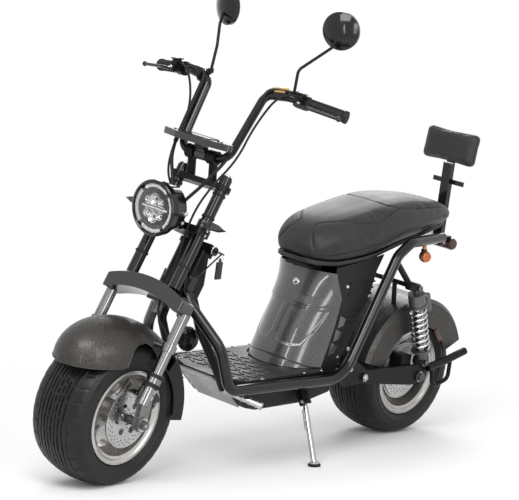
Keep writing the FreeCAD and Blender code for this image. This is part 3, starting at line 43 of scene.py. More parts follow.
# Pieces are drawn in millimetres on the machine's own axes, as the CAD source draws them:
#   BIKE  upright machine leaned on its stand, origin on the ground midway between the axles
#   TURN  the same axes, turned with the handlebar
#   FORK  u forward of the steering axis, y left, w up along it
MM = 0.001
LEAN, RAKE, TURNED = math.radians(8.5), math.radians(27.0), math.radians(4.5)
AXIS_FOOT, CROWN_RADIUS, ROW_SHIFT = 0.740, 0.250, (0.008, -0.180)
MILLI = Matrix.Scale(MM, 4)
LEANED = (Matrix.Translation((*ROW_SHIFT, CROWN_RADIUS * (1 - math.cos(LEAN))))
          @ Matrix.Rotation(-LEAN, 4, "X"))
RAKED = Matrix.Translation((AXIS_FOOT, 0, 0)) @ Matrix.Rotation(-RAKE, 4, "Y")
STEERED = Matrix.Rotation(TURNED, 4, "Z")
BIKE = LEANED @ MILLI
FORK = LEANED @ RAKED @ STEERED @ MILLI
TURN = LEANED @ RAKED @ STEERED @ RAKED.inverted() @ MILLI

# Main sizes, from the CAD source
WHEELBASE, TYRE_RADIUS, TREAD_HALF, TREAD_CROWN, BEAD_RADIUS = 1300.0, 220.0, 75.0, 250.0, 127.3
DISC_RADIUS, FRONT_DISC_FACE, REAR_DISC_FACE, DISC_THICK = 90.0, 92.3, 62.3, 4.0
LEG_U, LEG_Y = 52.0, 145.0
TUBE_U, TUBE_Y = 77.0, 85.0
AXLE_END = (19.7, 156, 236.9)
FRONT_AXLE = Vector((WHEELBASE / 2, 0, TYRE_RADIUS))
REAR_AXLE = Vector((-WHEELBASE / 2, 0, TYRE_RADIUS))
LEFT, UP, FORWARD = Vector((0, 1, 0)), Vector((0, 0, 1)), Vector((1, 0, 0))


def along(direction, at=(0, 0, 0)):
    """Place whose local Z points along the direction."""
    turn = Vector(direction).normalized().to_track_quat("Z", "Y")
    return Matrix.Translation(Vector(at)) @ turn.to_matrix().to_4x4()


def across(at):
    """Place of something that turns about the machine's left-right axis, local Z to the left."""
    return Matrix.Translation(Vector(at)) @ Matrix.Rotation(-math.pi / 2, 4, "X")


# Shader node groups
RUB_REACH, BUMP_REACH, COAT_ROUGHNESS = 0.0016, 0.0006, 0.06


def node_group(name, inputs, outputs):
    """New shader group from its inputs (label, kind, first value) and outputs (label, kind)."""
    tree = bpy.data.node_groups.new(name, "ShaderNodeTree")
    for label, kind, value in inputs:
        socket = tree.interface.new_socket(label, in_out="INPUT", socket_type="NodeSocket" + kind)
        socket.default_value = value
    for label, kind in outputs:
        tree.interface.new_socket(label, in_out="OUTPUT", socket_type="NodeSocket" + kind)
    return tree, tree.nodes.new("NodeGroupInput"), tree.nodes.new("NodeGroupOutput")


def add(tree, kind, inputs=(), **fields):
    """Adds a node; inputs are (socket, value or another node's socket)."""
    node = tree.nodes.new("ShaderNode" + kind)
    for field, value in fields.items():
        setattr(node, field, value)
    for socket, value in inputs:
        if isinstance(value, bpy.types.NodeSocket):
            tree.links.new(value, node.inputs[socket])
        else:
            node.inputs[socket].default_value = value
    return node


def maths(tree, operation, *values):
    """Result of one arithmetic node."""
    return add(tree, "Math", list(enumerate(values)), operation=operation).outputs[0]


def place_of(tree):
    """Where on the object a shaded point lies."""
    return add(tree, "TexCoord").outputs["Object"]


def seen_white(tree):
    """1 for rays from the camera, from polished surfaces and through glass, else 0."""
    path = add(tree, "LightPath")
    return maths(tree, "MAXIMUM", path.outputs["Is Camera Ray"],
                 maths(tree, "MAXIMUM", path.outputs["Is Glossy Ray"], path.outputs["Is Transmission Ray"]))


def mixed(tree, factor, first, second):
    """Colour between two others, by a mask."""
    node = add(tree, "Mix", [("Factor", factor)], data_type="RGBA")
    for socket, value in ((node.inputs[6], first), (node.inputs[7], second)):
        if isinstance(value, bpy.types.NodeSocket):
            tree.links.new(value, socket)
        else:
            socket.default_value = value
    return node.outputs[2]


def build_tone_group():
    """Soft colour drift over a surface, with a matching mask."""
    tree, given, out = node_group("tone_drift", [
        ("Tone", "Color", (0.5, 0.5, 0.5, 1)), ("Other Tone", "Color", (0.4, 0.4, 0.4, 1)),
        ("Scale", "Float", 9.0)], [("Color", "Color"), ("Mask", "Float")])
    cloud = add(tree, "TexNoise", [("Vector", place_of(tree)), ("Scale", given.outputs["Scale"]),
                                   ("Detail", 4.0), ("Roughness", 0.6)])
    mask = add(tree, "MapRange", [("Value", cloud.outputs[0]), ("From Min", 0.35), ("From Max", 0.65)])
    tree.links.new(mixed(tree, mask.outputs[0], given.outputs["Tone"], given.outputs["Other Tone"]),
                   out.inputs["Color"])
    tree.links.new(mask.outputs[0], out.inputs["Mask"])
    return tree


def build_grain_group():
    """Fine moulded or cast grain as a height."""
    tree, given, out = node_group("fine_grain", [("Scale", "Float", 900.0)], [("Height", "Float")])
    speck = add(tree, "TexNoise",
                [("Vector", place_of(tree)), ("Scale", given.outputs["Scale"]), ("Detail", 3.0)])
    tree.links.new(speck.outputs[0], out.inputs["Height"])
    return tree


def build_rub_group():
    """Worn edges: where the surface turns sharply within the reach."""
    tree, given, out = node_group("rubbed_edges", [("Amount", "Float", 1.0)], [("Mask", "Float")])
    softened = add(tree, "Bevel", [("Radius", RUB_REACH)], samples=4)
    true = add(tree, "NewGeometry")
    dot = add(tree, "VectorMath", [(0, softened.outputs[0]), (1, true.outputs["Normal"])],
              operation="DOT_PRODUCT")
    turn = maths(tree, "SUBTRACT", 1.0, dot.outputs["Value"])
    patchy = add(tree, "TexNoise", [("Vector", place_of(tree)), ("Scale", 160.0), ("Detail", 5.0)])
    worn = maths(tree, "MULTIPLY", turn, maths(tree, "MULTIPLY", patchy.outputs[0], 5.0))
    strength = add(tree, "Math", [(0, worn), (1, given.outputs["Amount"])], operation="MULTIPLY",
                   use_clamp=True)
    tree.links.new(strength.outputs[0], out.inputs["Mask"])
    return tree


def build_weave_group():
    """Carbon twill: diagonal tows, over and under."""
    tree, given, out = node_group("twill_weave", [("Tows", "Float", 150.0)],
                                  [("Mask", "Float"), ("Height", "Float")])
    stray = add(tree, "TexNoise", [("Vector", place_of(tree)), ("Scale", 45.0)])
    strayed = add(tree, "VectorMath",
                  [(0, stray.outputs["Color"]), (1, (0.004, 0.004, 0.004)), (2, place_of(tree))],
                  operation="MULTIPLY_ADD")
    split = add(tree, "SeparateXYZ", [(0, strayed.outputs[0])])
    run = maths(tree, "ADD", split.outputs[0], split.outputs[2])
    side = maths(tree, "ADD", split.outputs[1], maths(tree, "MULTIPLY", split.outputs[2], 0.35))
    cells = [maths(tree, "MULTIPLY", value, given.outputs["Tows"]) for value in (run, side)]
    steps = [maths(tree, "FLOOR", cell) for cell in cells]
    phase = maths(tree, "FRACT", maths(tree, "MULTIPLY", maths(tree, "ADD", steps[0], steps[1]), 0.25))
    over = maths(tree, "LESS_THAN", phase, 0.5)
    rounded = [maths(tree, "SINE", maths(tree, "MULTIPLY", maths(tree, "FRACT", cell), math.pi))
               for cell in cells]
    height = add(tree, "Mix", [("Factor", over), (2, rounded[0]), (3, rounded[1])], data_type="FLOAT")
    tree.links.new(over, out.inputs["Mask"])
    tree.links.new(height.outputs[0], out.inputs["Height"])
    return tree


def build_hide_group():
    """Leatherette grain: small rounded cells with fine creases between them, and a mask of painted shade in
    the creases.
    """
    tree, given, out = node_group("hide_grain", [("Scale", "Float", 420.0)],
                                  [("Height", "Float"), ("Crease Shade", "Float")])
    warp = add(tree, "TexNoise", [("Vector", place_of(tree)), ("Scale", 60.0)])
    shifted = add(tree, "VectorMath",
                  [(0, place_of(tree)), (1, warp.outputs["Color"]), (2, (0.002, 0.002, 0.002))],
                  operation="MULTIPLY_ADD")
    cells = add(tree, "TexVoronoi", [("Vector", shifted.outputs[0]), ("Scale", given.outputs["Scale"])],
                feature="DISTANCE_TO_EDGE")
    crease = add(tree, "MapRange", [("Value", cells.outputs[0]), ("From Min", 0.0), ("From Max", 0.12)])
    tree.links.new(crease.outputs[0], out.inputs["Height"])
    # mask of painted shade in the creases between the cells
    tree.links.new(maths(tree, "SUBTRACT", 1.0, crease.outputs[0]), out.inputs["Crease Shade"])
    return tree


TONE, GRAIN, RUB, WEAVE, HIDE = (build_tone_group(), build_grain_group(), build_rub_group(),
                                 build_weave_group(), build_hide_group())


def grey(level, warmth=0.0):
    """Grey colour, a little warmer where asked."""
    return (level * (1 + warmth), level, level * (1 - warmth), 1.0)


def use_group(tree, group, **inputs):
    """Places a group; each input takes a value or another node's socket."""
    node = tree.nodes.new("ShaderNodeGroup")
    node.node_tree = group
    for label, value in inputs.items():
        socket = node.inputs[label.replace("_", " ")]
        if isinstance(value, bpy.types.NodeSocket):
            tree.links.new(value, socket)
        else:
            socket.default_value = value
    return node


def material(name, tone, other, metallic=0.0, roughness=0.4, spread=0.08, drift=9.0, grain=0.0,
             grain_size=900.0, rub=0.0, rub_tone=None, coat=0.0, sheen=0.0, weave=False, hide=False,
             transmission=0.0, ior=1.5, specular=0.5):
    """Principled finish whose colour, roughness and relief vary over the surface."""
    made = bpy.data.materials.new(name)
    made.use_nodes = True
    tree = made.node_tree
    shader = tree.nodes["Principled BSDF"]
    for socket, value in (("Metallic", metallic), ("Coat Weight", coat), ("Coat Roughness", COAT_ROUGHNESS),
                          ("Sheen Weight", sheen), ("Transmission Weight", transmission), ("IOR", ior),
                          ("Specular IOR Level", specular)):
        shader.inputs[socket].default_value = value
    cloud = use_group(tree, TONE, Tone=tone, Other_Tone=other, Scale=drift)
    colour = cloud.outputs["Color"]
    height = None
    if weave:
        twill = use_group(tree, WEAVE)
        colour = mixed(tree, twill.outputs["Mask"], colour, tuple(0.72 * c for c in tone[:3]) + (1.0,))
        height = twill.outputs["Height"]
    if hide:
        skin = use_group(tree, HIDE)
        # painted shade: the colour darkens to half its tone along the grain's creases
        colour = mixed(tree, skin.outputs["Crease Shade"], colour, tuple(0.5 * c for c in tone[:3]) + (1.0,))
        height = skin.outputs["Height"]
    if grain and height is None:
        height = use_group(tree, GRAIN, Scale=grain_size).outputs["Height"]
    if rub:
        edges = use_group(tree, RUB, Amount=rub)
        colour = mixed(tree, edges.outputs["Mask"], colour, rub_tone or grey(0.35))
    tree.links.new(colour, shader.inputs["Base Color"])
    level = add(tree, "MapRange", [("Value", cloud.outputs["Mask"]), ("To Min", roughness - spread),
                                   ("To Max", roughness + spread)])
    tree.links.new(level.outputs[0], shader.inputs["Roughness"])
    if height is not None:
        bump = add(tree, "Bump", [("Height", height), ("Strength", grain or 0.2), ("Distance", BUMP_REACH)])
        tree.links.new(bump.outputs[0], shader.inputs["Normal"])
    return made


LOOKS = {
    "tyre_rubber": material("tyre_rubber", grey(0.006, 0.08), grey(0.012, 0.08), roughness=0.44, grain=0.2,
                            grain_size=700, rub=0.3, rub_tone=grey(0.03), specular=0.25),
    "fender_carbon": material("fender_carbon", grey(0.034, 0.12), grey(0.012, 0.12), metallic=0.3,
                              roughness=0.42, coat=0.12, weave=True, grain=0.5, grain_size=600, drift=120,
                              rub=0.6, rub_tone=grey(0.34)),
    "crown_gloss": material("crown_gloss", grey(0.010), grey(0.007), roughness=0.2, spread=0.04, coat=0.5,
                            rub=0.3, rub_tone=grey(0.15)),
    "dark_chrome": material("dark_chrome", grey(0.26), grey(0.18), metallic=1.0, roughness=0.2, spread=0.05),
    "black_paint": material("black_paint", grey(0.0025), grey(0.005), roughness=0.2, spread=0.06, coat=0.4,
                            rub=0.35, rub_tone=grey(0.08), specular=0.2),
    "satin_paint": material("satin_paint", grey(0.004), grey(0.007), roughness=0.36, grain=0.08, rub=0.5,
                            rub_tone=grey(0.07), specular=0.16),
    "cover_gloss": material("cover_gloss", grey(0.030), grey(0.060), metallic=0.25, roughness=0.24,
                            spread=0.04, coat=0.9, grain=0.06, grain_size=1400, drift=240, rub=0.5,
                            rub_tone=grey(0.35)),
    "matt_plastic": material("matt_plastic", grey(0.006), grey(0.010), roughness=0.5, grain=0.3, rub=0.4,
                             rub_tone=grey(0.04), specular=0.25),
    "gloss_plastic": material("gloss_plastic", grey(0.004), grey(0.007), roughness=0.24, spread=0.05,
                              coat=0.25, specular=0.25),
    "pale_plastic": material("pale_plastic", grey(0.34), grey(0.26), roughness=0.35, grain=0.15),
    "cast_alloy": material("cast_alloy", grey(0.50, 0.03), grey(0.36, 0.03), metallic=0.9, roughness=0.3,
                           grain=0.2, grain_size=500, rub=0.5, rub_tone=grey(0.85)),
    "chrome": material("chrome", grey(0.62), grey(0.52), metallic=1.0, roughness=0.14, spread=0.05),
    "bright_metal": material("bright_metal", grey(0.50), grey(0.38), metallic=1.0, roughness=0.26, grain=0.1,
                             rub=0.4, rub_tone=grey(0.9)),
    "grey_metal": material("grey_metal", grey(0.14), grey(0.09), metallic=0.9, roughness=0.38, grain=0.15,
                           rub=0.4),
    "brass": material("brass", (0.72, 0.47, 0.16, 1), (0.6, 0.38, 0.12, 1), metallic=1.0, roughness=0.25),
    "leatherette": material("leatherette", grey(0.014, 0.01), grey(0.020, 0.01), roughness=0.42, spread=0.05,
                            hide=True, grain=0.2, sheen=0.04, drift=6, specular=0.35),
    "black_rubber": material("black_rubber", grey(0.006), grey(0.010), roughness=0.6, grain=0.3,
                             specular=0.25),
    "mat_rubber": material("mat_rubber", grey(0.022, 0.02), grey(0.015, 0.02), roughness=0.5, grain=0.25,
                           rub=0.5, rub_tone=grey(0.08), specular=0.35),
    "clear_lens": material("clear_lens", grey(0.96), grey(0.93), roughness=0.04, spread=0.02,
                           transmission=1.0, ior=1.45),
    "smoke_lens": material("smoke_lens", grey(0.02), grey(0.012), roughness=0.14, spread=0.03, coat=0.5),
    "amber_lens": material("amber_lens", (0.42, 0.10, 0.008, 1), (0.30, 0.06, 0.006, 1), roughness=0.2,
                           coat=0.5, drift=60),
    "red_lens": material("red_lens", (0.05, 0.003, 0.003, 1), (0.02, 0.002, 0.002, 1), roughness=0.18,
                         coat=0.3, drift=60),
    "mirror_glass": material("mirror_glass", grey(0.86), grey(0.82), metallic=1.0, roughness=0.04,
                             spread=0.02),
    "lamp_white": material("lamp_white", grey(0.86), grey(0.80), roughness=0.25),
}


class Piece:
    """Forms gathered into one mesh, in millimetres, each set down at its own place."""

    def __init__(self, name):
        self.name, self.mesh = name, bmesh.new()

    def take(self, made, place):
        """Adds another bmesh, moved to its place."""
        made.transform(place)
        block = bpy.data.meshes.new("form")
        made.to_mesh(block)
        made.free()
        self.mesh.from_mesh(block)
        bpy.data.meshes.remove(block)

    def grid(self, rows, place=Matrix(), round_rows=False, round_stack=False):
        """Quads over rows of points; a round row joins its ends, a round stack its first and last rows."""
        form = bmesh.new()
        points = [[form.verts.new(Vector(p)) for p in row] for row in rows]
        for i in range(len(points) if round_stack else len(points) - 1):
            first, second = points[i], points[(i + 1) % len(points)]
            for j in range(len(first) if round_rows else len(first) - 1):
                k = (j + 1) % len(first)
                form.faces.new((first[j], first[k], second[k], second[j]))
        bmesh.ops.remove_doubles(form, verts=form.verts, dist=0.001)
        self.take(form, place)

    def turned(self, profile, place=Matrix(), steps=32):
        """Lathe of rows (radius, height) about local Z."""
        angles = [2 * math.pi * n / steps for n in range(steps)]
        self.grid([[(r * math.cos(a), r * math.sin(a), h) for r, h in profile] for a in angles], place,
                  round_stack=True)

    def rod(self, start, end, radius, chamfer=0.8, steps=24, place=Matrix()):
        """Round bar with chamfered ends."""
        length = (Vector(end) - Vector(start)).length
        self.turned([(0, 0), (radius - chamfer, 0), (radius, chamfer), (radius, length - chamfer),
                     (radius - chamfer, length), (0, length)],
                    place @ along(Vector(end) - Vector(start), start), steps)

    def bolt(self, at, direction, radius, height, place=Matrix(), sides=6):
        """Hexagon or socket head standing on a surface, with its washer."""
        self.turned([(0, 0), (radius * 1.35, 0), (radius * 1.35, height * 0.2), (0, height * 0.2)],
                    place @ along(direction, at), 24)
        self.turned([(0, 0), (radius, 0), (radius, height * 0.85), (radius * 0.85, height),
                     (radius * 0.45, height), (radius * 0.4, height * 0.6), (0, height * 0.6)],
                    place @ along(direction, at), sides)

    def box(self, sizes, place=Matrix(), bevel=1.5, segments=2):
        """Block with rounded edges."""
        form = bmesh.new()
        bmesh.ops.create_cube(form, size=1.0, matrix=Matrix.Diagonal((*sizes, 1.0)))
        bmesh.ops.bevel(form, geom=form.edges[:], offset=bevel, segments=segments, affect="EDGES",
                        profile=0.5)
        self.take(form, place)

    def plate(self, outline, thick, place=Matrix(), bevel=0.8, holes=()):
        """Flat plate of an outline in local XY with round holes (x, y, radius), from Z 0 up."""
        line = bpy.data.curves.new("outline", "CURVE")
        line.dimensions, line.fill_mode, line.extrude = "2D", "BOTH", thick / 2 - bevel
        line.bevel_depth, line.bevel_resolution, line.offset = bevel, 1, -bevel
        rings = [outline] + [[(x + r * math.cos(a * math.pi / 8), y + r * math.sin(a * math.pi / 8))
                              for a in range(16)] for x, y, r in holes]
        for ring in rings:
            spline = line.splines.new("POLY")
            spline.points.add(len(ring) - 1)
            for point, (x, y) in zip(spline.points, ring):
                point.co = (x, y, 0, 1)
            spline.use_cyclic_u = True
        self.curve_form(line, place @ Matrix.Translation((0, 0, thick / 2)))

    def swept(self, points, radius, place=Matrix(), closed=False, order=3, sides=4):
        """Round bar along a smooth line through its control points."""
        line = bpy.data.curves.new("sweep", "CURVE")
        line.dimensions, line.bevel_depth, line.bevel_resolution, line.resolution_u = "3D", radius, sides, 8
        line.use_fill_caps = True
        spline = line.splines.new("NURBS")
        spline.points.add(len(points) - 1)
        for point, co in zip(spline.points, points):
            point.co = (*co, 1)
        spline.order_u = order
        spline.use_endpoint_u = not closed
        spline.use_cyclic_u = closed
        self.curve_form(line, place)

    def curve_form(self, line, place):
        """Takes in the surface of a curve."""
        holder = bpy.data.objects.new("form", line)
        block = bpy.data.meshes.new_from_object(holder)
        form = bmesh.new()
        form.from_mesh(block)
        self.take(form, place)
        bpy.data.objects.remove(holder)
        bpy.data.curves.remove(line)
        bpy.data.meshes.remove(block)

    def mirror_copy(self):
        """A second copy on the machine's other side."""
        other = self.mesh.copy()
        other.transform(Matrix.Diagonal((1, -1, 1, 1)))
        bmesh.ops.reverse_faces(other, faces=other.faces[:])
        self.take(other, Matrix())
        return self

    def set_down(self, axes, body, look, slot, replaces=(), sharp=38):
        """Makes the gathered forms one dressed object, placed by its axes."""
        bmesh.ops.recalc_face_normals(self.mesh, faces=self.mesh.faces[:])
        self.mesh.transform(axes)
        block = bpy.data.meshes.new(self.name)
        self.mesh.to_mesh(block)
        self.mesh.free()
        block.shade_smooth()
        block.set_sharp_from_angle(angle=math.radians(sharp))
        return dress(bpy.data.objects.new(self.name, block), body, look, replaces)


def dress(obj, body, look, replaces=()):
    """Gives a new object its material, body and the CAD nodes that it stands for."""
    if obj.name not in scene.collection.objects:
        scene.collection.objects.link(obj)
    obj.data.materials.clear()
    obj.data.materials.append(LOOKS[look])
    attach(obj, body)
    if replaces:
        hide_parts(*replaces)
    return obj


# Camera at the photograph's angle
AZIMUTH, ELEVATION, ROLL = math.radians(47.06), math.radians(5.82), math.radians(1.33)
CAMERA_AT = Vector((4.8674, 4.3793, 1.3240))
PHOTO_WIDTH, FOCAL_PIXELS, SENSOR = 519, 2131.52, 36.0
SHIFT_PIXELS = (-0.29, 0.69)


def set_camera():
    """Camera from its fitted place, turn and focal length."""
    away = Vector((math.sin(AZIMUTH) * math.cos(ELEVATION), math.cos(AZIMUTH) * math.cos(ELEVATION),
                   math.sin(ELEVATION)))
    right = (-away).cross(UP).normalized()
    top = right.cross(-away)
    rolled_right = right * math.cos(ROLL) + top * math.sin(ROLL)
    rolled_top = top * math.cos(ROLL) - right * math.sin(ROLL)
    lens = bpy.data.cameras.new("camera")
    lens.sensor_width, lens.lens = SENSOR, FOCAL_PIXELS / PHOTO_WIDTH * SENSOR
    lens.shift_x, lens.shift_y = (pixels / PHOTO_WIDTH for pixels in SHIFT_PIXELS)
    lens.clip_start, lens.clip_end = 0.1, 100.0
    camera = bpy.data.objects.new("camera", lens)
    scene.collection.objects.link(camera)
    camera.matrix_world = Matrix((rolled_right, rolled_top, away)).transposed().to_4x4()
    camera.matrix_world.translation = CAMERA_AT
    scene.camera = camera


set_camera()


# Brake hose and lamp lead: control points in metres, on the turned axes
def from_fork(u, y, w):
    """Point of the fork's axes on the turned ones, both in metres."""
    return tuple(RAKED @ Vector((u, y, w)))


HOSE_TOP = [(0.2761, 0.2337, 1.199), (0.290, 0.184, 1.206), (0.318, 0.124, 1.088), (0.374, 0.124, 0.985),
            (0.430, 0.088, 0.900)]
BRAKE_HOSE = HOSE_TOP + [(0.460, 0.054, 0.800), from_fork(0.066, 0.046, 0.700),
                         from_fork(0.066, 0.046, 0.548), from_fork(0.034, 0.120, 0.500),
                         from_fork(0.022, 0.121, 0.420), from_fork(-0.021, 0.104, 0.350)]
LAMP_LEAD = [(x, -y, z) for x, y, z in HOSE_TOP + [(0.436, 0.034, 0.848), (0.444, 0.016, 0.834),
                                                   (0.4627, 0.016, 0.834)]]
HOSE_RADIUS = 0.0035


def hose(name, points):
    """Round hose along its control points."""
    line = bpy.data.curves.new(name, "CURVE")
    line.dimensions, line.bevel_depth, line.bevel_resolution, line.resolution_u = "3D", HOSE_RADIUS, 4, 16
    line.use_fill_caps = True
    spline = line.splines.new("NURBS")
    spline.points.add(len(points) - 1)
    for point, co in zip(spline.points, points):
        point.co = (*co, 1)
    spline.order_u = 3
    spline.use_endpoint_u = True
    obj = bpy.data.objects.new(name, line)
    obj.matrix_world = TURN @ Matrix.Scale(1 / MM, 4)
    return dress(obj, "steering", "black_rubber", ["brake_cables"])


hose("brake_hose", BRAKE_HOSE)
hose("lamp_lead", LAMP_LEAD)


# Stage: pale floor, white room, soft lamps
def set_stage():
    """Floor that keeps the shadow near the machine and fades to plain white."""
    floor = Piece("studio_floor")
    floor.turned([(0, 0), (1500, 0), (4000, 0), (14000, 0)], steps=96)
    floor.mesh.transform(MILLI)
    block = bpy.data.meshes.new("studio_floor")
    floor.mesh.to_mesh(block)
    obj = bpy.data.objects.new("studio_floor", block)
    scene.collection.objects.link(obj)
    look = bpy.data.materials.new("studio_floor")
    look.use_nodes = True
    tree = look.node_tree
    shader = tree.nodes["Principled BSDF"]
    shader.inputs["Base Color"].default_value = grey(0.90)
    shader.inputs["Roughness"].default_value = 0.7
    white = add(tree, "Emission", [("Color", grey(1.0)), ("Strength", 1.0)])
    reach = add(tree, "VectorMath", [(0, place_of(tree))], operation="LENGTH")
    fade = add(tree, "MapRange", [("Value", reach.outputs["Value"]), ("From Min", 1.1), ("From Max", 2.4)],
               interpolation_type="SMOOTHSTEP")
    blend = add(tree, "MixShader", [(0, maths(tree, "MULTIPLY", seen_white(tree), fade.outputs[0])),
                                    (1, shader.outputs[0]), (2, white.outputs[0])])
    tree.links.new(blend.outputs[0], tree.nodes["Material Output"].inputs["Surface"])
    obj.data.materials.append(look)


ROOM_LIGHT = 0.62
LAMPS = [
    # name, place, aims at, width, height, watts
    ("key_softbox", (2.6, 1.2, 3.4), (0.1, -0.1, 0.5), 2.2, 1.6, 95),
    ("side_softbox", (0.6, 3.6, 1.9), (0.0, 0.0, 0.5), 2.6, 1.2, 42),
    ("back_softbox", (-3.0, -2.2, 2.6), (0.0, 0.0, 0.6), 2.2, 1.4, 48),
    ("left_softbox", (1.7, 3.2, 1.1), (0.0, 0.0, 0.5), 0.6, 2.2, 24),
    ("front_strip", (3.6, 1.6, 0.8), (0.2, -0.1, 0.5), 0.22, 2.4, 20),
]


def set_lights():
    """White room and five soft lamps."""
    world = bpy.data.worlds.new("white_room")
    scene.world = world
    world.use_nodes = True
    tree = world.node_tree
    level = add(tree, "MapRange", [("Value", seen_white(tree)), ("To Min", ROOM_LIGHT), ("To Max", 1.0)])
    tree.links.new(level.outputs[0], tree.nodes["Background"].inputs["Strength"])
    tree.nodes["Background"].inputs["Color"].default_value = grey(1.0)
    for name, at, aim, width, height, watts in LAMPS:
        lamp = bpy.data.lights.new(name, "AREA")
        lamp.shape, lamp.size, lamp.size_y, lamp.energy = "RECTANGLE", width, height, watts
        obj = bpy.data.objects.new(name, lamp)
        obj.location = at
        obj.rotation_euler = (Vector(aim) - Vector(at)).to_track_quat("-Z", "Y").to_euler()
        scene.collection.objects.link(obj)
    scene.view_settings.view_transform = "Standard"


set_stage()
set_lights()


# Finishes of the CAD pieces that show
CAD_LOOKS = {
    "fender_carbon": ["front_fender", "rear_fender"],
    "crown_gloss": ["lower_crown", "display"],
    "black_paint": ["rails", "upper_tubes", "handlebar", "headlamp_shell", "backrest_post", "mirror_heads",
                    "brake_levers", "front_caliper"],
    "satin_paint": ["head_tube", "neck", "shock_frame", "deck_brackets", "swing_arm",
                    "rear_guards", "upper_yoke", "bar_bridge", "mirror_stems", "floor_deck", "lever_perches",
                    "rear_caliper", "down_tubes"],
    "matt_plastic": ["side_covers", "front_mud_flap", "belly_tub", "seat_pan", "tower_frame", "battery"],
    "gloss_plastic": ["horn", "key_set"],
    "pale_plastic": ["skid_plate"],
    "cast_alloy": ["front_rim", "hub_motor"],
    "chrome": ["foot_pegs"],
    "dark_chrome": ["fork_legs", "fork_lowers"],
    "bright_metal": ["side_stand"],
    "grey_metal": ["front_axle", "rear_axle", "steering_stem", "shock_bodies"],
    "smoke_lens": ["front_indicators"],
    "amber_lens": ["rear_indicators"],
    "red_lens": ["tail_lamp"],
    "mat_rubber": ["floor_mat"],
}
for look, names in CAD_LOOKS.items():
    for name in names:
        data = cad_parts[name].data
        data.materials.clear()
        data.materials.append(LOOKS[look])


# Tyres with ribs along the crown and short cuts at the shoulders
GROOVES = [(0.0, 4.0), (13.0, 3.5), (26.0, 4.5), (41.0, 3.5), (56.0, 4.0)]
GROOVE_DEPTH, CUT_DEPTH, NICK_DEPTH, TYRE_STEPS, CUT_PITCH = 4.2, 2.6, 1.0, 360, 12
GROOVE_WAVE, WAVE_STEPS, ROW_PITCH = 1.2, 30, 1.5


def tyre_profile():
    """Rows (radius, height) from the left bead over the crown to the right bead."""
    crown = TYRE_RADIUS - TREAD_CROWN
    heights = [n * ROW_PITCH for n in range(int(TREAD_HALF / ROW_PITCH) + 1)]
    rows = [(crown + math.sqrt(TREAD_CROWN ** 2 - h * h), h) for h in heights]
    rows += [(207.0, 80.0), (204.0, 85.5), (200.5, 91.0), (196.5, 95.5), (192.0, 97.3), (186.0, 98.6),
             (178.0, 99.4), (170.0, 98.8), (166.0, 98.6), (165.0, 99.4), (161.5, 99.0), (160.5, 97.4),
             (154.0, 95.2), (149.0, 92.0), (145.6, 88.6), (145.0, 82.0), (BEAD_RADIUS, 81.7)]
    return [(r, -h) for r, h in reversed(rows)] + rows[1:]


def groove_depth(height, step):
    """Depth of the pattern at a height across the tread and a step round it."""
    away = abs(height)
    depth = 0.0
    for middle, width in GROOVES:
        wave = GROOVE_WAVE * math.sin(step * 2 * math.pi / WAVE_STEPS + middle)
        if abs(away - middle - wave) < width / 2:
            depth = GROOVE_DEPTH
    phase = (step + away * 0.10) % CUT_PITCH
    if 60 < away < 88 and phase < 1.2:
        depth = max(depth, CUT_DEPTH)
    if 88 < away < 97 and (step + 6) % CUT_PITCH < 3:
        depth = max(depth, NICK_DEPTH)
    return depth


def tyre(name, axes, body, centre, node):
    """Tyre with its pattern cut into the turned section."""
    made = Piece(name)
    rows = []
    for step in range(TYRE_STEPS):
        angle = 2 * math.pi * step / TYRE_STEPS
        cut = [(r - groove_depth(h, step), h) for r, h in tyre_profile()]
        rows.append([(r * math.cos(angle), r * math.sin(angle), h) for r, h in cut])
    made.grid(rows, across(centre), round_stack=True)
    return made.set_down(axes, body, "tyre_rubber", "tyre_rubber", [node], sharp=60)


tyre("front_tyre_tread", TURN, "front_wheel", FRONT_AXLE, "front_tyre")
tyre("rear_tyre_tread", BIKE, "rear_wheel", REAR_AXLE, "rear_tyre")


# Brake discs drilled in rings of holes, on a spoked carrier
def drilled_disc(name, axes, body, centre, face, node):
    """Brake disc with its holes, and bolts on its face."""
    made = Piece(name)
    holes = [(r * math.cos(a), r * math.sin(a), 2.6)
             for r, shift in ((66, 0.0), (73, 0.5), (80, 0.0))
             for a in [2 * math.pi * (n + shift) / 24 for n in range(24)]]
    rim_line = []
    for n in range(96):
        radius, angle = DISC_RADIUS - 0.6 * (n % 16 > 7), 2 * math.pi * n / 96
        rim_line.append((radius * math.cos(angle), radius * math.sin(angle)))
    made.plate(rim_line, DISC_THICK, across(centre) @ Matrix.Translation((0, 0, face)), 0.4,
               holes + [(0, 0, 20)] + [(42 * math.cos(a), 42 * math.sin(a), 11)
                                       for a in [2 * math.pi * n / 6 for n in range(6)]])
    for n in range(6):
        angle = 2 * math.pi * (n + 0.5) / 6
        made.bolt((28 * math.cos(angle), 28 * math.sin(angle), face + DISC_THICK), UP, 4, 4, across(centre))
    return made.set_down(axes, body, "bright_metal", "bright_metal", [node])


drilled_disc("front_brake_disc", TURN, "front_wheel", FRONT_AXLE, FRONT_DISC_FACE, "front_disc")
drilled_disc("rear_brake_disc", BIKE, "rear_wheel", REAR_AXLE, REAR_DISC_FACE, "rear_disc")

# Shock absorber coils
SHOCK_TOP, SHOCK_LOW = Vector((-547, 150, 536)), Vector((-640, 150, 276))
SPRING_RADIUS, WIRE_RADIUS, COILS = 31.0, 4.6, 7.5
shock_dir = (SHOCK_LOW - SHOCK_TOP).normalized()
shock_length = (SHOCK_LOW - SHOCK_TOP).length


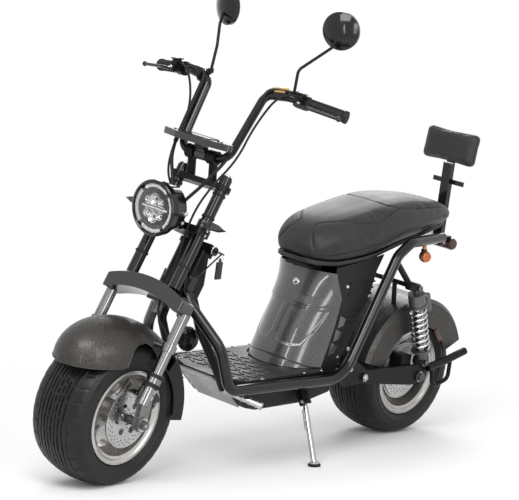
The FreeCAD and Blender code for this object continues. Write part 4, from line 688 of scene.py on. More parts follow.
def shock_coils():
    """Spring and inner tube of both rear shocks."""
    made = Piece("shock_coils")
    start, stop = 72.0, shock_length - 46.0
    count = int(COILS * 16)
    points = []
    for n in range(count + 1):
        share, angle = n / count, 2 * math.pi * COILS * n / count
        reach = SPRING_RADIUS - WIRE_RADIUS
        points.append((reach * math.cos(angle), reach * math.sin(angle),
                       start + WIRE_RADIUS + (stop - start - 2 * WIRE_RADIUS) * share))
    made.swept(points, WIRE_RADIUS, along(shock_dir, SHOCK_TOP), sides=3)
    made.turned([(14, start + 1), (17, start + 4), (17, stop - 4), (14, stop - 1)],
                along(shock_dir, SHOCK_TOP))
    made.mirror_copy()
    return made.set_down(BIKE, "frame", "chrome", "bright_metal", ["shock_springs"])


shock_coils()


# Headlamp: glass, day-light ring, cross bar and two cupped reflectors
LAMP_X, LAMP_Z, LAMP_RADIUS = 567.0, 823.0, 82.5
lamp_place = (Matrix.Translation((LAMP_X, 0, LAMP_Z)) @ Matrix.Rotation(math.pi / 2, 4, "Y")
              @ Matrix.Rotation(math.pi / 2, 4, "Z"))


def ring_part(made, radius, width, low, high, start, stop, place):
    """Part of a flat ring, from one angle to another in degrees."""
    rows = []
    for n in range(37):
        angle = math.radians(start + (stop - start) * n / 36)
        section = [(radius - width, low), (radius - width, high), (radius, high), (radius, low)]
        rows.append([(r * math.cos(angle), r * math.sin(angle), h) for r, h in section])
    made.grid(rows, place, round_rows=True)


def headlamp():
    """Glass, bowl, reflector cups, light ring and bezel."""
    glass = Piece("headlamp_glass")
    reach = LAMP_RADIUS - 9.3
    glass.turned([(0, 11.7), (30, 10.4), (52, 7.4), (66, 3.6), (reach, -1.0), (reach, -3.0), (66, 1.6),
                  (52, 5.4), (30, 8.4), (0, 9.7)], lamp_place, 64)
    glass.set_down(TURN, "steering", "clear_lens", "clear_lens", ["headlamp_lens"])
    bowl = Piece("headlamp_bowl")
    bowl.turned([(0, -11.4), (50, -11.4), (56, -8.4), (60, -6.0), (72.6, -6.0), (72.6, -11.6), (0, -11.6)],
                lamp_place, 64)
    bowl.set_down(TURN, "steering", "gloss_plastic", "black_gloss_plastic")
    bright = Piece("headlamp_reflectors")
    for turn in (0, math.pi):
        half = lamp_place @ Matrix.Rotation(turn, 4, "Z")
        for shift, radius in ((0.0, 19.0), (-25.0, 12.0), (25.0, 12.0)):
            cup = [(radius * 0.25, -10.8), (radius * 0.55, -9.4), (radius * 0.82, -6.4), (radius, -2.4),
                   (radius - 1.2, -2.4), (radius * 0.5, -10.9)]
            at = Matrix.Translation((shift, 26 if shift == 0 else 20, 0))
            bright.turned(cup, half @ at, 12)
        bright.plate([(-40, 5), (40, 5), (34, 9), (-34, 9)], 5, half @ Matrix.Translation((0, 0, -11)), 0.6)
    bright.set_down(TURN, "steering", "chrome", "clear_lens")
    glow = Piece("headlamp_daylight")
    for start, stop in ((-46, 40), (52, 128), (140, 226), (238, 302)):
        ring_part(glow, 72.0, 10.5, -6.2, -1.5, start, stop, lamp_place)
    glow.box((96, 5.0, 6.0), lamp_place @ Matrix.Translation((0, 0, -7)), 1.2)
    glow.set_down(TURN, "steering", "lamp_white", "clear_lens")
    rim = Piece("headlamp_bezel")
    rim.turned([(LAMP_RADIUS - 10, 3.4), (LAMP_RADIUS - 7.5, 5.6), (LAMP_RADIUS - 4, 4.4),
                (LAMP_RADIUS + 0.8, 0.4), (LAMP_RADIUS + 0.8, -8), (LAMP_RADIUS - 1, -8.6),
                (LAMP_RADIUS - 1, -0.5), (LAMP_RADIUS - 10, 1)],
               lamp_place, 72)
    rim.set_down(TURN, "steering", "black_paint", "black_paint")


headlamp()


# Bar fittings: ribbed grips, clamps, lids, buttons and mirror glass
BAR_TOP, BAR_TIP = Vector((264, 196, 1187)), Vector((205, 362, 1165))
GRIP_LENGTH, GRIP_PITCH = 128.0, 8.0
grip_dir = (BAR_TIP - BAR_TOP).normalized()
grip_side = grip_dir.cross(UP).normalized()


def along_grip(distance):
    """Point on the bar's end part, by its distance from the tip."""
    return BAR_TIP - grip_dir * distance


def grips():
    """Ribbed grips with a flange at each end."""
    rows = [(13.2, 0), (20, 0), (21, 1), (21, 5), (20, 6.4), (17.6, 8)]
    for n in range(13):
        start = 11 + n * GRIP_PITCH
        rows += [(17.6, start), (17.6, start + 5), (16.1, start + 5.6), (16.1, start + 7.4)]
    rows += [(17.6, 116), (19, 118), (19, 126.5), (17.6, 128), (5, 128), (4, 126), (0, 126)]
    made = Piece("grip_sleeves")
    made.turned(rows, along(grip_dir, along_grip(GRIP_LENGTH - 6)), 36)
    made.mirror_copy().set_down(TURN, "steering", "black_rubber", "black_rubber", ["grips"], sharp=30)


def bar_fittings():
    """Lids, buttons and screws on both perches, and the brass collar on the left side."""
    lids = Piece("perch_lids")
    screws = Piece("perch_screws")
    brass = Piece("brass_collars")
    perch = along_grip(GRIP_LENGTH + 21)
    tank = perch + grip_dir * 13.5 + grip_side * 26.5 + UP * 16
    frame_at = Matrix.Translation(tank + UP * 13) @ Matrix((grip_dir, grip_side, UP)).transposed().to_4x4()
    lids.box((34, 27, 5), frame_at, 1.6)
    for shift in (-12, 12):
        screws.bolt(frame_at @ Vector((shift, 0, 2.4)), UP, 2.6, 2.2)
    for reach, drop in ((3, 8), (3, -8), (9, 0)):
        lids.rod(perch + grip_dir * (6 + reach) - grip_side * 20 - UP * drop,
                 perch + grip_dir * (6 + reach) - grip_side * 24.5 - UP * drop, 4.2, 0.8, 14)
    screws.bolt(perch + grip_dir * 13 + grip_side * 44 + UP * 2, UP, 5, 4)
    screws.bolt(perch + grip_dir * 13 + UP * 21.4, UP, 3.4, 3)
    clamp = Matrix.Translation((266, 166, 1195)) @ Matrix.Rotation(math.radians(7), 4, "X")
    lids.box((26, 50, 20), clamp, 3)
    brass.box((27.2, 40, 6), clamp @ Matrix.Translation((0, 0, 4)), 1.2)
    brass.rod((0, -26, 11), (0, 24, 11), 4.2, 0.8, 20, clamp)
    screws.rod((0, -36, 6), (0, -25, 6), 8, 1.5, 20, clamp)
    lids.mirror_copy().set_down(TURN, "steering", "gloss_plastic", "black_matt_plastic")
    screws.mirror_copy().set_down(TURN, "steering", "bright_metal", "bright_metal")
    brass.set_down(TURN, "steering", "brass", "bright_metal")


MIRROR_HEADS = [(137, 245, 1395), (190, -150, 1391)]


def mirror_fittings():
    """Glass and rim of both mirrors."""
    glass, rims = Piece("mirror_glasses"), Piece("mirror_rims")
    for x, y, z in MIRROR_HEADS:
        facing = Vector((0.94, math.copysign(0.28, y), -0.08)).normalized()
        back = along(-facing, Vector((x, y, z)) - facing * -5.0)
        glass.turned([(0, 12.0), (30, 12.0), (51, 11.6), (51, 10.8), (0, 10.8)], back, 64)
        rims.turned([(50.4, 10.6), (50.6, 12.4), (52, 13.4), (55, 13.0), (57.2, 10.5), (57.2, 0), (56, -0.8)],
                    back, 64)
    glass.set_down(TURN, "steering", "mirror_glass", "bright_metal")
    rims.set_down(TURN, "steering", "gloss_plastic", "black_gloss_plastic")


def display_face():
    """Screen, its frame and four screws on the display."""
    face = Matrix.Translation((414, 0, 1023)) @ Matrix.Rotation(math.radians(-6), 4, "Y")
    screen, frame_rim = Piece("display_screen"), Piece("display_rim")
    screen.plate([(-24, -54), (24, -54), (24, 54), (-24, 54)], 1.6,
                 face @ Matrix.Translation((0, 0, 9.8)), 0.6)
    corners = [(-26, -57), (26, -57), (26, 57), (-26, 57)]
    for start, stop in zip(corners, corners[1:] + corners[:1]):
        frame_rim.rod((*start, 10.4), (*stop, 10.4), 2.0, 0.4, 10, face)
    for y in (-92, -78, 78, 92):
        frame_rim.turned([(0, 0), (4.5, 0), (4.5, 1.6), (3.6, 2.4), (0, 2.4)],
                         face @ Matrix.Translation((2, y, 9.8)), 20)
    screen.set_down(TURN, "steering", "smoke_lens", "black_gloss_plastic")
    frame_rim.set_down(TURN, "steering", "satin_paint", "black_matt_plastic")


grips()
bar_fittings()
mirror_fittings()
display_face()


# Fork fittings in the fork's own axes: caps, clamp bolts, dust seals and axle nuts
def fork_fittings():
    """Bolts, seals and rings on both legs and upper tubes."""
    bright, seals = Piece("fork_bolts"), Piece("fork_seals")
    bright.bolt((TUBE_U, TUBE_Y, 999), UP, 9, 7)
    for w in (810, 824):
        bright.bolt((TUBE_U + 6, TUBE_Y + 23, w), (0.2, 1, 0), 4, 4)
    for u, y in ((TUBE_U - 38, 42), (18, 24)):
        bright.bolt((u, y, 828), UP, 5.5, 5)
        bright.bolt((u, y, 970), UP, 5.5, 5)
    for w in (306, 326):
        bright.bolt((LEG_U - 22, LEG_Y, w), (-1, 0, 0), 4.5, 5)
        bright.bolt((LEG_U, LEG_Y + 22.5, w + 8), LEFT, 4, 4)
    for low in (343, 371):
        seals.turned([(17.2, low), (25.2, low + 1), (25.2, low + 12), (22, low + 14), (17.2, low + 14)],
                     Matrix.Translation((LEG_U, LEG_Y, 0)), 36)
    for low in (610, 700, 862, 935):
        seals.turned([(18.1, low), (20.4, low + 1), (20.4, low + 7), (18.1, low + 8)],
                     Matrix.Translation((TUBE_U, TUBE_Y, 0)), 36)
    bright.turned([(0, 0), (13, 0), (13, 8), (11, 10), (6, 10), (6, 12.5), (0, 12.5)],
                  along(LEFT, AXLE_END), 6)
    bright.turned([(8, 0), (21, 0), (21, 2.2), (8, 2.2)], along(LEFT, AXLE_END), 32)
    bright.mirror_copy().set_down(FORK, "steering", "bright_metal", "bright_metal")
    seals.mirror_copy().set_down(FORK, "steering", "black_rubber", "black_rubber")


def fender_trim():
    """Lengthwise crease bead on both sides of the front fender, and its bolts."""
    crease, bolts = Piece("fender_crease"), Piece("fender_bolts")
    crease.swept([(790, 92, 392), (765, 104, 413), (729, 107, 431), (684, 104, 445), (625, 95, 447),
                  (568, 84, 444)],
                 1.6, sides=3)
    crease.mirror_copy().set_down(TURN, "steering", "fender_carbon", "black_gloss_plastic")
    bolts.bolt((504, 72, 819), LEFT, 6, 5)
    bolts.bolt((500, 62, 789), LEFT, 4.5, 4)
    bolts.bolt((586.3, 116.2, 293.8), LEFT, 5, 5)
    bolts.bolt((561.7, 116.2, 262.2), LEFT, 5, 5)
    bolts.set_down(TURN, "steering", "bright_metal", "bright_metal")


def fender_edge():
    """Rolled bead round the fender's lower edge and its cut-outs, from its own ring and half ball."""
    centre_x, centre_z, ring, minor, nose = 695.7, 162.3, 226.5, 118.0, 162.0
    cut_x, cut_z, cut_radius, bead = 640.0, 384.0, 66.0, 2.3
    points = []
    for n in range(25):
        x = centre_x + nose * math.cos(math.radians(n * 3.6))
        if x > cut_x + cut_radius:
            points.append((x, minor * math.sin(math.radians(n * 3.6)), centre_z + ring))
    for n in range(2, 25):
        angle = math.radians(n * 8)
        x, z = cut_x + cut_radius * math.cos(angle), cut_z + cut_radius * math.sin(angle)
        if x > centre_x:
            share = ((x - centre_x) / nose) ** 2 + ((z - centre_z - ring) / minor) ** 2
            y = minor * math.sqrt(max(1 - share, 0))
        else:
            y = math.sqrt(max(minor ** 2 - (math.hypot(x - centre_x, z - centre_z) - ring) ** 2, 0))
        points.append((x, y, z))
    for degrees in (122, 126, 130, 133):
        angle = math.radians(degrees)
        points.append((centre_x + ring * math.cos(angle), minor, centre_z + ring * math.sin(angle)))
    made = Piece("fender_edge")
    made.swept(points, bead, sides=3)
    made.mirror_copy().set_down(TURN, "steering", "fender_carbon", "black_gloss_plastic")


def cable_sleeves():
    """Ribbed sleeve that gathers the cables up each riser."""
    made = Piece("cable_sleeves")
    low, high = Vector((392, 104, 990)), Vector((292, 118, 1170))
    length, profile, pitch, bundle = (high - low).length, [(5.4, 0)], 6, 5.2
    for start in range(0, int(length / pitch) * pitch, pitch):
        profile += [(6.2, start + 0.6), (7.2, start + 1.4), (7.2, start + 4.2), (6.2, start + 5)]
    made.turned(profile + [(5.4, length)], along(high - low, low), 20)
    made.swept([high - (high - low) * 0.02, (283, 120, 1188), (276, 140, 1200), (268, 186, 1202),
                (258, 216, 1196)], bundle, sides=3)
    made.swept([low + (high - low) * 0.02, (404, 98, 968), (420, 84, 940), (434, 58, 896), (452, 32, 858),
                (470, 19, 833)], bundle, sides=3)
    made.mirror_copy().set_down(TURN, "steering", "black_rubber", "black_rubber")


def key_fob():
    """Key, its ring and a fob in the switch."""
    ring, fob = Piece("key_ring"), Piece("key_fob")
    hook = Vector((328, 86, 676))
    ring.swept([hook + Vector((12 * math.cos(a), 2 * math.sin(2 * a), 12 * math.sin(a)))
                for a in [math.pi * n / 6 for n in range(12)]], 1.1, closed=True, sides=2)
    ring.rod((328, 58.4, 687), (328, 84, 687), 1.6, 0.3, 12)
    fob.box((26, 7, 54), Matrix.Translation((330, 86, 636)), 3)
    fob.box((8, 3, 16), Matrix.Translation((329, 86, 666)), 1)
    ring.turned([(13.2, 0), (15.4, 0), (15.4, 3), (13.2, 4)], along(LEFT, (328, 56, 688)), 28)
    ring.set_down(BIKE, "frame", "chrome", "bright_metal")
    fob.set_down(BIKE, "frame", "leatherette", "black_matt_plastic")


def wheel_ribs(name, axes, body, centre, faces):
    """Ribs between the wheel's windows, steps in its rim and the valve stem."""
    made = Piece(name)
    place = across(centre)
    for face in faces:
        for n in range(4):
            turn = Matrix.Rotation(math.pi / 4 + n * math.pi / 2, 4, "Z")
            for spread in (-9, 9):
                made.box((62, 5, 7), place @ turn @ Matrix.Translation((82, spread, face)), 1.6)
    for side in (-1, 1):
        flip = place if side > 0 else place @ Matrix.Rotation(math.pi, 4, "X")
        made.turned([(119, 70), (122, 72.5), (126, 72.5), (126, 84), (131, 90.2), (134, 91.4), (138, 91.4),
                     (142, 90.2), (142, 88)], flip, 96)
    made.rod((118, 0, 40), (100, 0, 58), 3, 0.6, 14, place)
    made.set_down(axes, body, "cast_alloy", "cast_alloy")


fork_fittings()
fender_trim()
fender_edge()
cable_sleeves()
key_fob()
wheel_ribs("front_wheel_ribs", TURN, "front_wheel", FRONT_AXLE, (15, -15))
wheel_ribs("rear_wheel_ribs", BIKE, "rear_wheel", REAR_AXLE, ())


# Cover under the seat: its own skin with a collar, two pockets and a stepped foot
TOWER = [(300.3, -6.0, -132.0, 138.0), (420.0, -56.0, -172.0, 136.0), (520.0, -104.0, -192.0, 136.0),
         (600.0, -132.0, -170.0, 120.0)]
COLLAR_LINE = [(0, 497), (54, 491), (105, 489), (136, 504)]
FOOT_LINE = [(0, 330), (67, 325), (110, 314), (140, 300)]
POCKET = [(12, 484), (9, 443), (11, 396), (25, 373), (67, 366), (95, 371), (111, 408), (121, 453), (124, 478),
          (100, 480), (54, 482)]
TOWER_COLUMNS, TOWER_ROWS, TOWER_SKIN, TOWER_RETURN = 150, 130, 3.6, 6.0


def tabled(table, at):
    """Value at a place along a table of (place, value) rows."""
    for (a, low), (b, high) in zip(table, table[1:]):
        if at <= b:
            return low + (high - low) * (at - a) / (b - a)
    return table[-1][1]


def eased(value, width):
    """0 to 1 across a step of that width, smooth at both ends."""
    t = min(max(value / width + 0.5, 0), 1)
    return t * t * (3 - 2 * t)


def inside_by(outline, y, z):
    """Distance in from the nearest edge of an outline, below zero outside."""
    here, reach, inside = Vector((y, z)), 1e9, False
    for (y0, z0), (y1, z1) in zip(outline, outline[1:] + outline[:1]):
        edge, off = Vector((y1 - y0, z1 - z0)), here - Vector((y0, z0))
        share = min(max(off.dot(edge) / edge.length_squared, 0), 1)
        reach = min(reach, (off - edge * share).length)
        if (z0 > z) != (z1 > z) and y < (y1 - y0) * (z - z0) / (z1 - z0) + y0:
            inside = not inside
    return reach if inside else -reach


def tower_relief(y, z):
    """How far the skin stands in or out at a place on it."""
    across_by = abs(y)
    depth = 2.6 * (eased(z - tabled(COLLAR_LINE, across_by), 5) - 1)
    depth -= 2.4 * eased(inside_by(POCKET, across_by, z), 6)
    return depth - 2.2 * eased(tabled(FOOT_LINE, across_by) - z, 4)


def tower_rows(inset, relief):
    """Level rows of points, each an arc over the nose between the two sides."""
    rows = []
    low, high = TOWER[0][0] + 0.2, TOWER[-1][0] - 0.2
    for n in range(TOWER_ROWS + 1):
        z = low + (high - low) * n / TOWER_ROWS
        for first, last in zip(TOWER, TOWER[1:]):
            if z <= last[0]:
                break
        nose, side, half = (a + (b - a) * (z - first[0]) / (last[0] - first[0])
                            for a, b in zip(first[1:], last[1:]))
        bow = nose - side
        radius = (bow * bow + half * half) / (2 * bow)
        middle, spread = nose - radius, math.asin(min(half / radius, 1))
        if bow > half:
            spread = math.pi - spread
        row = [(side - TOWER_RETURN, -half + inset, z)]
        for k in range(TOWER_COLUMNS + 1):
            angle = spread * (2 * k / TOWER_COLUMNS - 1)
            y = radius * math.sin(angle)
            reach = radius - inset + (tower_relief(y, z) if relief else 0)
            row.append((middle + reach * math.cos(angle), reach * math.sin(angle), z))
        rows.append(row + [(side - TOWER_RETURN, half - inset, z)])
    return rows


def tower_skin():
    """Closed shell of the cover under the seat."""
    made = Piece("tower_skin")
    outer, inner = tower_rows(0, True), tower_rows(TOWER_SKIN + 4, False)
    rings = [first + second[::-1] for first, second in zip(outer, inner)]
    made.grid(rings, round_rows=True)
    for ring in (rings[0], rings[-1]):
        count = len(ring) // 2
        made.grid([[ring[n], ring[-1 - n]] for n in range(count)])
    made.set_down(BIKE, "frame", "cover_gloss", "black_gloss_plastic", ["tower_front"], sharp=50)


def tower_fittings():
    """Seat lock, side teeth, ribs and bolts of the covers."""
    lock, teeth = Piece("seat_lock"), Piece("tower_teeth")
    ribs, bolts = Piece("cover_ribs"), Piece("cover_bolts")
    lock_at = along((1, 0.05, 0.28), (-117, 7, 553))
    lock.turned([(12, -3), (12, 1.5), (11, 2.6), (8.5, 2.6), (8, 1.2), (0, 1.2)], lock_at, 32)
    lock.box((2, 9, 2.4), lock_at, 0.3)
    for z in (446, 403, 360):
        shift = (400 - z) * 0.3
        teeth.plate([(-186 + shift, z + 20), (-214 + shift, z + 8), (-206 + shift, z - 14),
                     (-180 + shift, z - 20)], 3.4,
                    Matrix.Translation((0, 139.6, 0)) @ Matrix.Rotation(math.pi / 2, 4, "X"), 0.9)
    for z, length in ((566, 120), (548, 116), (530, 110), (470, 84), (452, 80), (434, 74)):
        at = (-285 + (530 - z) * 0.42, 137.2 - max(z - 520, 0) * 0.2, z)
        ribs.box((length, 3.4, 7), Matrix.Translation(at), 1.3)
    for x, z in ((-226, 556), (-214, 330), (-262, 352), (-330, 520)):
        bolts.bolt((x, 136 - max(z - 520, 0) * 0.2, z), LEFT, 4.6, 3.6)
    lock.set_down(BIKE, "frame", "chrome", "bright_metal")
    teeth.mirror_copy().set_down(BIKE, "frame", "cover_gloss", "black_gloss_plastic")
    ribs.mirror_copy().set_down(BIKE, "frame", "matt_plastic", "black_matt_plastic")
    bolts.mirror_copy().set_down(BIKE, "frame", "bright_metal", "bright_metal")


tower_skin()
tower_fittings()


# Floor: raised blocks on the mat, screws, ringed pegs, shoe and spring of the stand
MAT_TOP = 300.3


def floor_fittings():
    """Blocks of the mat, screws and the pegs' rings."""
    blocks, screws, rings = Piece("mat_blocks"), Piece("floor_screws"), Piece("peg_rings")
    for row in range(9):
        for column in range(-3, 4):
            x, y = 22 + row * 24, column * 42
            turn = Matrix.Rotation(math.radians(24 if (row + column) % 2 else -24), 4, "Z")
            blocks.box((9, 32, 3.2), Matrix.Translation((x, y, MAT_TOP + 0.8)) @ turn, 1.1)
    for x, y in ((226, 120), (150, 158), (-40, 158), (-120, 158)):
        screws.bolt((x, y, MAT_TOP), UP, 4.5, 3)
    for x, z in ((276, 264), (240, 241)):
        screws.bolt((x - 6, 60, z - 4), (0.5, 0, -0.8), 5, 3)
    root, tip = Vector((268, 119, 266)), Vector((222, 226, 244))
    for share in (0.5, 0.7, 0.9):
        rings.turned([(9, -2.6), (11, -2), (11.6, 0), (11, 2), (9, 2.6)],
                     along(tip - root, root.lerp(tip, share)), 24)
    blocks.set_down(BIKE, "frame", "mat_rubber", "black_rubber")
    screws.mirror_copy().set_down(BIKE, "frame", "bright_metal", "bright_metal")
    rings.mirror_copy().set_down(BIKE, "frame", "bright_metal", "bright_metal")


GROUND = Matrix.Translation((*ROW_SHIFT, 0)) @ MILLI
STAND_PIVOT, STAND_FOOT = Vector((-64, 154, 208)), Vector((-5, 283, 0))


def stand_fittings():
    """Shoe and return spring of the stand."""
    shoe, spring = Piece("stand_shoe"), Piece("stand_spring")
    shoe.turned([(15.8, 0.4), (19, 0.4), (20, 1.6), (20, 7), (18, 9), (15.8, 9)],
                Matrix.Translation(STAND_FOOT), 32)
    shoe.set_down(GROUND, "side_stand", "black_rubber", "bright_metal")
    foot = (LEANED.inverted() @ Matrix.Translation((*ROW_SHIFT, 0)) @ (STAND_FOOT * MM)) / MM
    down = (foot - STAND_PIVOT).normalized()
    start = STAND_PIVOT + down * 30 + Vector((12, 2, 0))
    points = []
    for n in range(90):
        coil = Vector((math.cos(n * 0.7), math.sin(n * 0.7), 0)) * 5.2
        points.append(start + down * (n * 0.75) + coil)
    spring.swept(points, 1.3, sides=2)
    spring.set_down(BIKE, "side_stand", "bright_metal", "bright_metal")


floor_fittings()
stand_fittings()


# Rear: shock collars, lamp rings, reflectors, pivot bolts
def rear_fittings():
    """Collars and cans of the shocks, bolts, reflectors and the indicators' rims."""
    collars, bolts, reds, rims = (Piece("shock_collars"), Piece("rear_bolts"), Piece("rear_reflectors"),
                                  Piece("indicator_rims"))
    place = along(shock_dir, SHOCK_TOP)
    for low in (66, shock_length - 45):
        collars.turned([(17, low - 4), (30, low - 4), (33, low - 2), (33, low + 3), (30, low + 5),
                        (17, low + 5)],
                       place, 40)
    collars.rod((SHOCK_TOP.x, 166, SHOCK_TOP.z), (SHOCK_TOP.x, 174, SHOCK_TOP.z), 11, 1.5, 6)
    collars.rod((SHOCK_LOW.x, 166, SHOCK_LOW.z), (SHOCK_LOW.x, 173, SHOCK_LOW.z), 10, 1.5, 6)
    can = SHOCK_TOP + shock_dir * 44 + Vector((-46, 0, 16))
    collars.rod(can, can + shock_dir * 62, 13, 2.5, 28)
    strap = can + shock_dir * 10
    collars.rod(strap - Vector((0, 0, 4)), strap + Vector((30, 0, -14)), 6, 1, 16)
    bolts.bolt((-352, 151.2, 250), LEFT, 9, 7)
    bolts.bolt((-650, 141, 220), LEFT, 13, 11)
    bolts.bolt((-238, 181, 298), LEFT, 6, 4)
    on_fender = Matrix.Translation((-752, 115, 345)) @ Matrix.Rotation(math.radians(-50), 4, "Y")
    reds.box((58, 3, 18), on_fender, 1.2)
    facing = Vector((0.35, 0.93, 0)).normalized()
    rims.turned([(16.4, 5), (18.4, 5), (18.8, 8), (18.8, 14), (17.2, 16), (16.4, 16)],
                along(facing, (-577, 138, 638)), 32)
    rims.turned([(7, 0), (10, 1), (10, 9), (7, 10)], along(UP, (-573, 141, 652)), 20)
    for made, look, slot in ((collars, "grey_metal", "grey_metal"), (bolts, "bright_metal", "bright_metal"),
                             (reds, "red_lens", "red_lens"), (rims, "gloss_plastic", "black_gloss_plastic")):
        made.mirror_copy().set_down(BIKE, "frame", look, slot)


rear_fittings()


# Horn face: ridges over the opening
def horn_face():
    """Round ridges and the middle cap."""
    made = Piece("horn_face")
    place = along((1, 0, 0.25), (338, 0, 404))
    for radius in (10, 15, 20):
        made.turned([(radius - 1.6, 5.6), (radius - 1, 8), (radius + 1, 8), (radius + 1.6, 5.6)], place, 36)
    made.rod((0, 0, 5), (0, 0, 9), 5, 1, 20, place)
    made.set_down(BIKE, "frame", "satin_paint", "black_matt_plastic")


horn_face()


# Seat: cushion swollen by a short cloth run, then its seams pressed in
SEAT = [
    # x, underside z, widest z, top z, half width low, half width wide
    (-92, 638, 662, 690, 62, 78), (-118, 634, 680, 728, 88, 104), (-190, 634, 700, 764, 120, 134),
    (-330, 652, 722, 796, 132, 150), (-480, 680, 742, 818, 112, 148), (-640, 708, 756, 810, 92, 130),
    (-740, 720, 758, 792, 72, 104), (-796, 732, 750, 768, 44, 56),
]
SEAT_INSET, SEAT_STEPS, CLOTH_FRAMES = 5.0, 40, 20


def seat_row(share):
    """Seat section sizes at a share of the way along, eased between the table's rows."""
    at = share * (len(SEAT) - 1)
    index = min(int(at), len(SEAT) - 2)
    rows = [SEAT[min(max(index + k, 0), len(SEAT) - 1)] for k in (-1, 0, 1, 2)]
    t = at - index
    return [0.5 * (2 * b + (c - a) * t + (2 * a - 5 * b + 4 * c - d) * t * t
                   + (3 * b - 3 * c + d - a) * t ** 3)
            for a, b, c, d in zip(*rows)]


def seat_ring(x, low, wide_z, top, half_low, half_wide, inset):
    """Closed section: flat underside, sides pulled in to the base, crowned top."""
    ring = []
    half_low, half_wide = half_low - inset * 0.6, half_wide - inset
    low, top = low + inset * 0.3, top - inset
    for n in range(13):
        angle = math.pi * n / 12
        side, height = math.cos(angle), math.sin(angle)
        ring.append((x, half_wide * math.copysign(abs(side) ** 0.72, side),
                     wide_z + (top - wide_z) * height ** 0.9))
    left_low = [(x, -half_wide * 0.985, wide_z - (wide_z - low) * 0.3), (x, -(half_wide + half_low) / 2,
                wide_z - (wide_z - low) * 0.72), (x, -half_low, low + 3), (x, -half_low * 0.9, low)]
    return ring + left_low + [(x, 0, low)] + [(px, -py, pz) for px, py, pz in reversed(left_low)]


def shrunk(ring, share, step):
    """The same section drawn towards its middle and moved along the machine."""
    middle = sum((Vector(p) for p in ring), Vector()) / len(ring)
    return [middle + (Vector(p) - middle) * share + FORWARD * step for p in ring]


def pad_from(name, rows):
    """Closed pad from its sections, with rounded ends."""
    made = Piece(name)
    nose = [shrunk(rows[0], share, step) for share, step in ((0, 7), (0.6, 6), (0.86, 3.5))]
    tail = [shrunk(rows[-1], share, -step) for share, step in ((0.86, 3.5), (0.6, 6), (0, 7))]
    made.grid(nose + rows + tail, round_rows=True)
    return made


def plump(obj, voxel, pressure, cap):
    """Voxel remesh, a short pressurised cloth run, and a limit on how far each point may go."""
    bpy.context.view_layer.objects.active = obj
    remesh = obj.modifiers.new("even_mesh", "REMESH")
    remesh.mode, remesh.voxel_size = "VOXEL", voxel
    applied(obj)
    start = [v.co.copy() for v in obj.data.vertices]
    cloth = obj.modifiers.new("stuffing", "CLOTH")
    cloth.settings.use_pressure = True
    cloth.settings.uniform_pressure_force = pressure
    cloth.settings.effector_weights.gravity = 0
    cloth.settings.quality = 3
    cloth.settings.tension_stiffness = cloth.settings.compression_stiffness = 20
    for number in range(1, CLOTH_FRAMES + 1):
        scene.frame_set(number)
    applied(obj)
    scene.frame_set(1)
    for vertex, rest in zip(obj.data.vertices, start):
        move = vertex.co - rest
        if move.length > cap:
            vertex.co = rest + move.normalized() * cap
    smooth = obj.modifiers.new("even_skin", "SMOOTH")
    smooth.factor, smooth.iterations = 0.5, 6
    finer = obj.modifiers.new("finer", "SUBSURF")
    finer.levels = finer.render_levels = 1
    applied(obj)


def applied(obj):
    """Replaces the object's mesh by its evaluated one, so that no modifier is left."""
    graph = bpy.context.evaluated_depsgraph_get()
    graph.update()
    block = bpy.data.meshes.new_from_object(obj.evaluated_get(graph))
    obj.modifiers.clear()
    obj.data = block
    block.shade_smooth()


def press_seams(obj, seams, axes, depth, width):
    """Pushes the skin in along each seam line, given in the pad's own millimetres."""
    to_pad = axes.inverted()
    lines = []
    for points in seams:
        dense = []
        for a, b in zip(points, points[1:]):
            count = max(2, int((Vector(b) - Vector(a)).length / 4))
            dense += [Vector(a).lerp(Vector(b), n / count) for n in range(count)]
        lines += dense + [Vector(points[-1])]
    from_tree = kd_tree(lines)
    for vertex in obj.data.vertices:
        at = to_pad @ vertex.co
        away = from_tree.find(at)[2]
        if away < width * 3:
            vertex.co -= vertex.normal * depth * MM * math.exp(-(away / width) ** 2)


def kd_tree(points):
    """Search tree over points."""
    tree = KDTree(len(points))
    for number, point in enumerate(points):
        tree.insert(point, number)
    tree.balance()
    return tree


SIDE_SEAM = [(-121, 42, 733), (-145, 35, 746), (-168, 60, 754), (-196, 81, 761), (-243, 102, 760),
             (-292, 120, 758), (-350, 128, 764), (-397, 119, 779), (-450, 110, 794), (-548, 109, 793),
             (-663, 97, 789), (-712, 90, 781), (-785, 45, 768)]
NOSE_SEAM = [(-145, 35, 746), (-121, 42, 733), (-103, 61, 700), (-95, 77, 672), (-100, 80, 645)]
LOWER_SEAM = [(-100, 79, 649), (-132, 99, 649), (-206, 127, 664), (-304, 137, 677), (-434, 136, 701),
              (-486, 142, 734), (-589, 135, 750), (-687, 113, 760), (-770, 72, 756)]
CROSS_SEAM = [(-450, 110, 794), (-412, 88, 803), (-398, 50, 811), (-396, 0, 813)]


def other_side(line):
    """The same line on the machine's other side."""
    return [(x, -y, z) for x, y, z in line]


def seat_pad():
    """Cushion with pressed seams and thin cords in them."""
    shares = [n / SEAT_STEPS for n in range(SEAT_STEPS + 1)]
    rows = [seat_ring(*seat_row(share), SEAT_INSET) for share in shares]
    made = pad_from("seat_cover", rows)
    obj = made.set_down(BIKE, "seat", "leatherette", "seat_cover", ["seat_cushion"], sharp=180)
    plump(obj, voxel=0.006, pressure=4.0, cap=0.006)
    lines = [SIDE_SEAM, NOSE_SEAM, LOWER_SEAM, CROSS_SEAM]
    press_seams(obj, lines + [other_side(line) for line in lines], BIKE, depth=4.2, width=3.4)
    side_lines, over_top = lines[:3], CROSS_SEAM + other_side(CROSS_SEAM)[::-1]
    corded = side_lines + [over_top] + [other_side(line) for line in side_lines]
    piping("seat_piping", obj, corded, BIKE, "seat", radius=0.9)


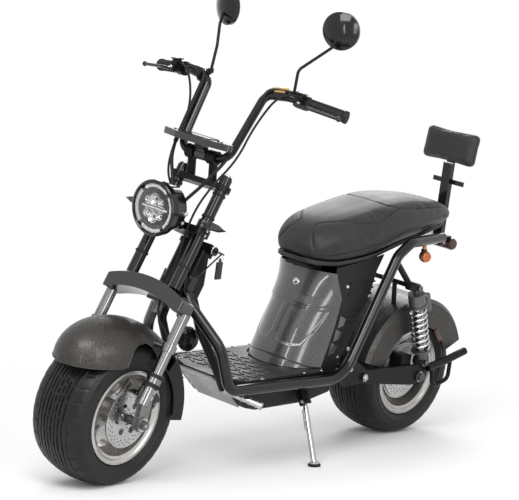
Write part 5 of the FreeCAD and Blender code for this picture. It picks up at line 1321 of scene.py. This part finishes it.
def piping(name, pad, lines, axes, body, radius):
    """Sewn cord lying in the pad's seams, drawn onto its skin."""
    skin = BVHTree.FromPolygons([v.co for v in pad.data.vertices], [p.vertices for p in pad.data.polygons])
    made, to_pad = Piece(name), axes.inverted()
    for line in lines:
        points = []
        for a, b in zip(line, line[1:]):
            count = max(1, int((Vector(b) - Vector(a)).length / 14))
            points += [Vector(a).lerp(Vector(b), n / count) for n in range(count)]
        seated = [skin.find_nearest(axes @ point) for point in points + [Vector(line[-1])]]
        made.swept([to_pad @ (place + normal * 0.0002) for place, normal, _, _ in seated], radius, sides=2)
    made.set_down(axes, body, "leatherette", "seat_cover")


def seat_skirt():
    """Turned-down edge of the cover below the front half of the cushion."""
    line, steps, reach, hang = [], 24, 0.62, 13.0
    for n in range(steps + 1):
        x, low, _, _, half_low, _ = seat_row(reach * n / steps)
        line.append((x, half_low * 0.97, low + 4, hang * (1 - (n / steps) ** 2)))
    nose = [(-87, 40, 641, hang), (-87, -40, 641, hang)]
    outer = line[::-1] + nose + [(x, -y, z, d) for x, y, z, d in line]
    rows = []
    for x, y, z, drop in outer:
        inward = Vector((x + 200, y, 0)).normalized() * -3
        rows.append([(x, y, z), (x, y, z - drop), (x + inward.x, y + inward.y, z - drop - 1),
                     (x + inward.x, y + inward.y, z)])
    made = Piece("seat_skirt")
    made.grid(rows, round_rows=True)
    made.set_down(BIKE, "seat", "leatherette", "seat_cover", sharp=60)


seat_skirt()
seat_pad()

# Backrest pad
PAD_PLACE = Matrix.Translation((-820, 0, 971)) @ Matrix.Rotation(math.radians(-8), 4, "Y")
PAD_HALF, PAD_INSET = (23.0, 111.0, 58.0), 3.0


def backrest():
    """Rounded pad with a seam on each face."""
    made = Piece("backrest_cover")
    made.box([2 * (half - PAD_INSET) for half in PAD_HALF], PAD_PLACE, 17, 5)
    obj = made.set_down(BIKE, "frame", "leatherette", "seat_cover", ["backrest_pad"], sharp=180)
    plump(obj, voxel=0.0045, pressure=4.0, cap=0.004)
    corners = [(-92, -47), (92, -47), (103, -36), (103, 36), (92, 47), (-92, 47), (-103, 36), (-103, -36),
               (-92, -47)]
    seam = [(13, y, z) for y, z in corners]
    press_seams(obj, [seam, [(-x, y, z) for x, y, z in seam]], BIKE @ PAD_PLACE, depth=1.8, width=2.6)


backrest()
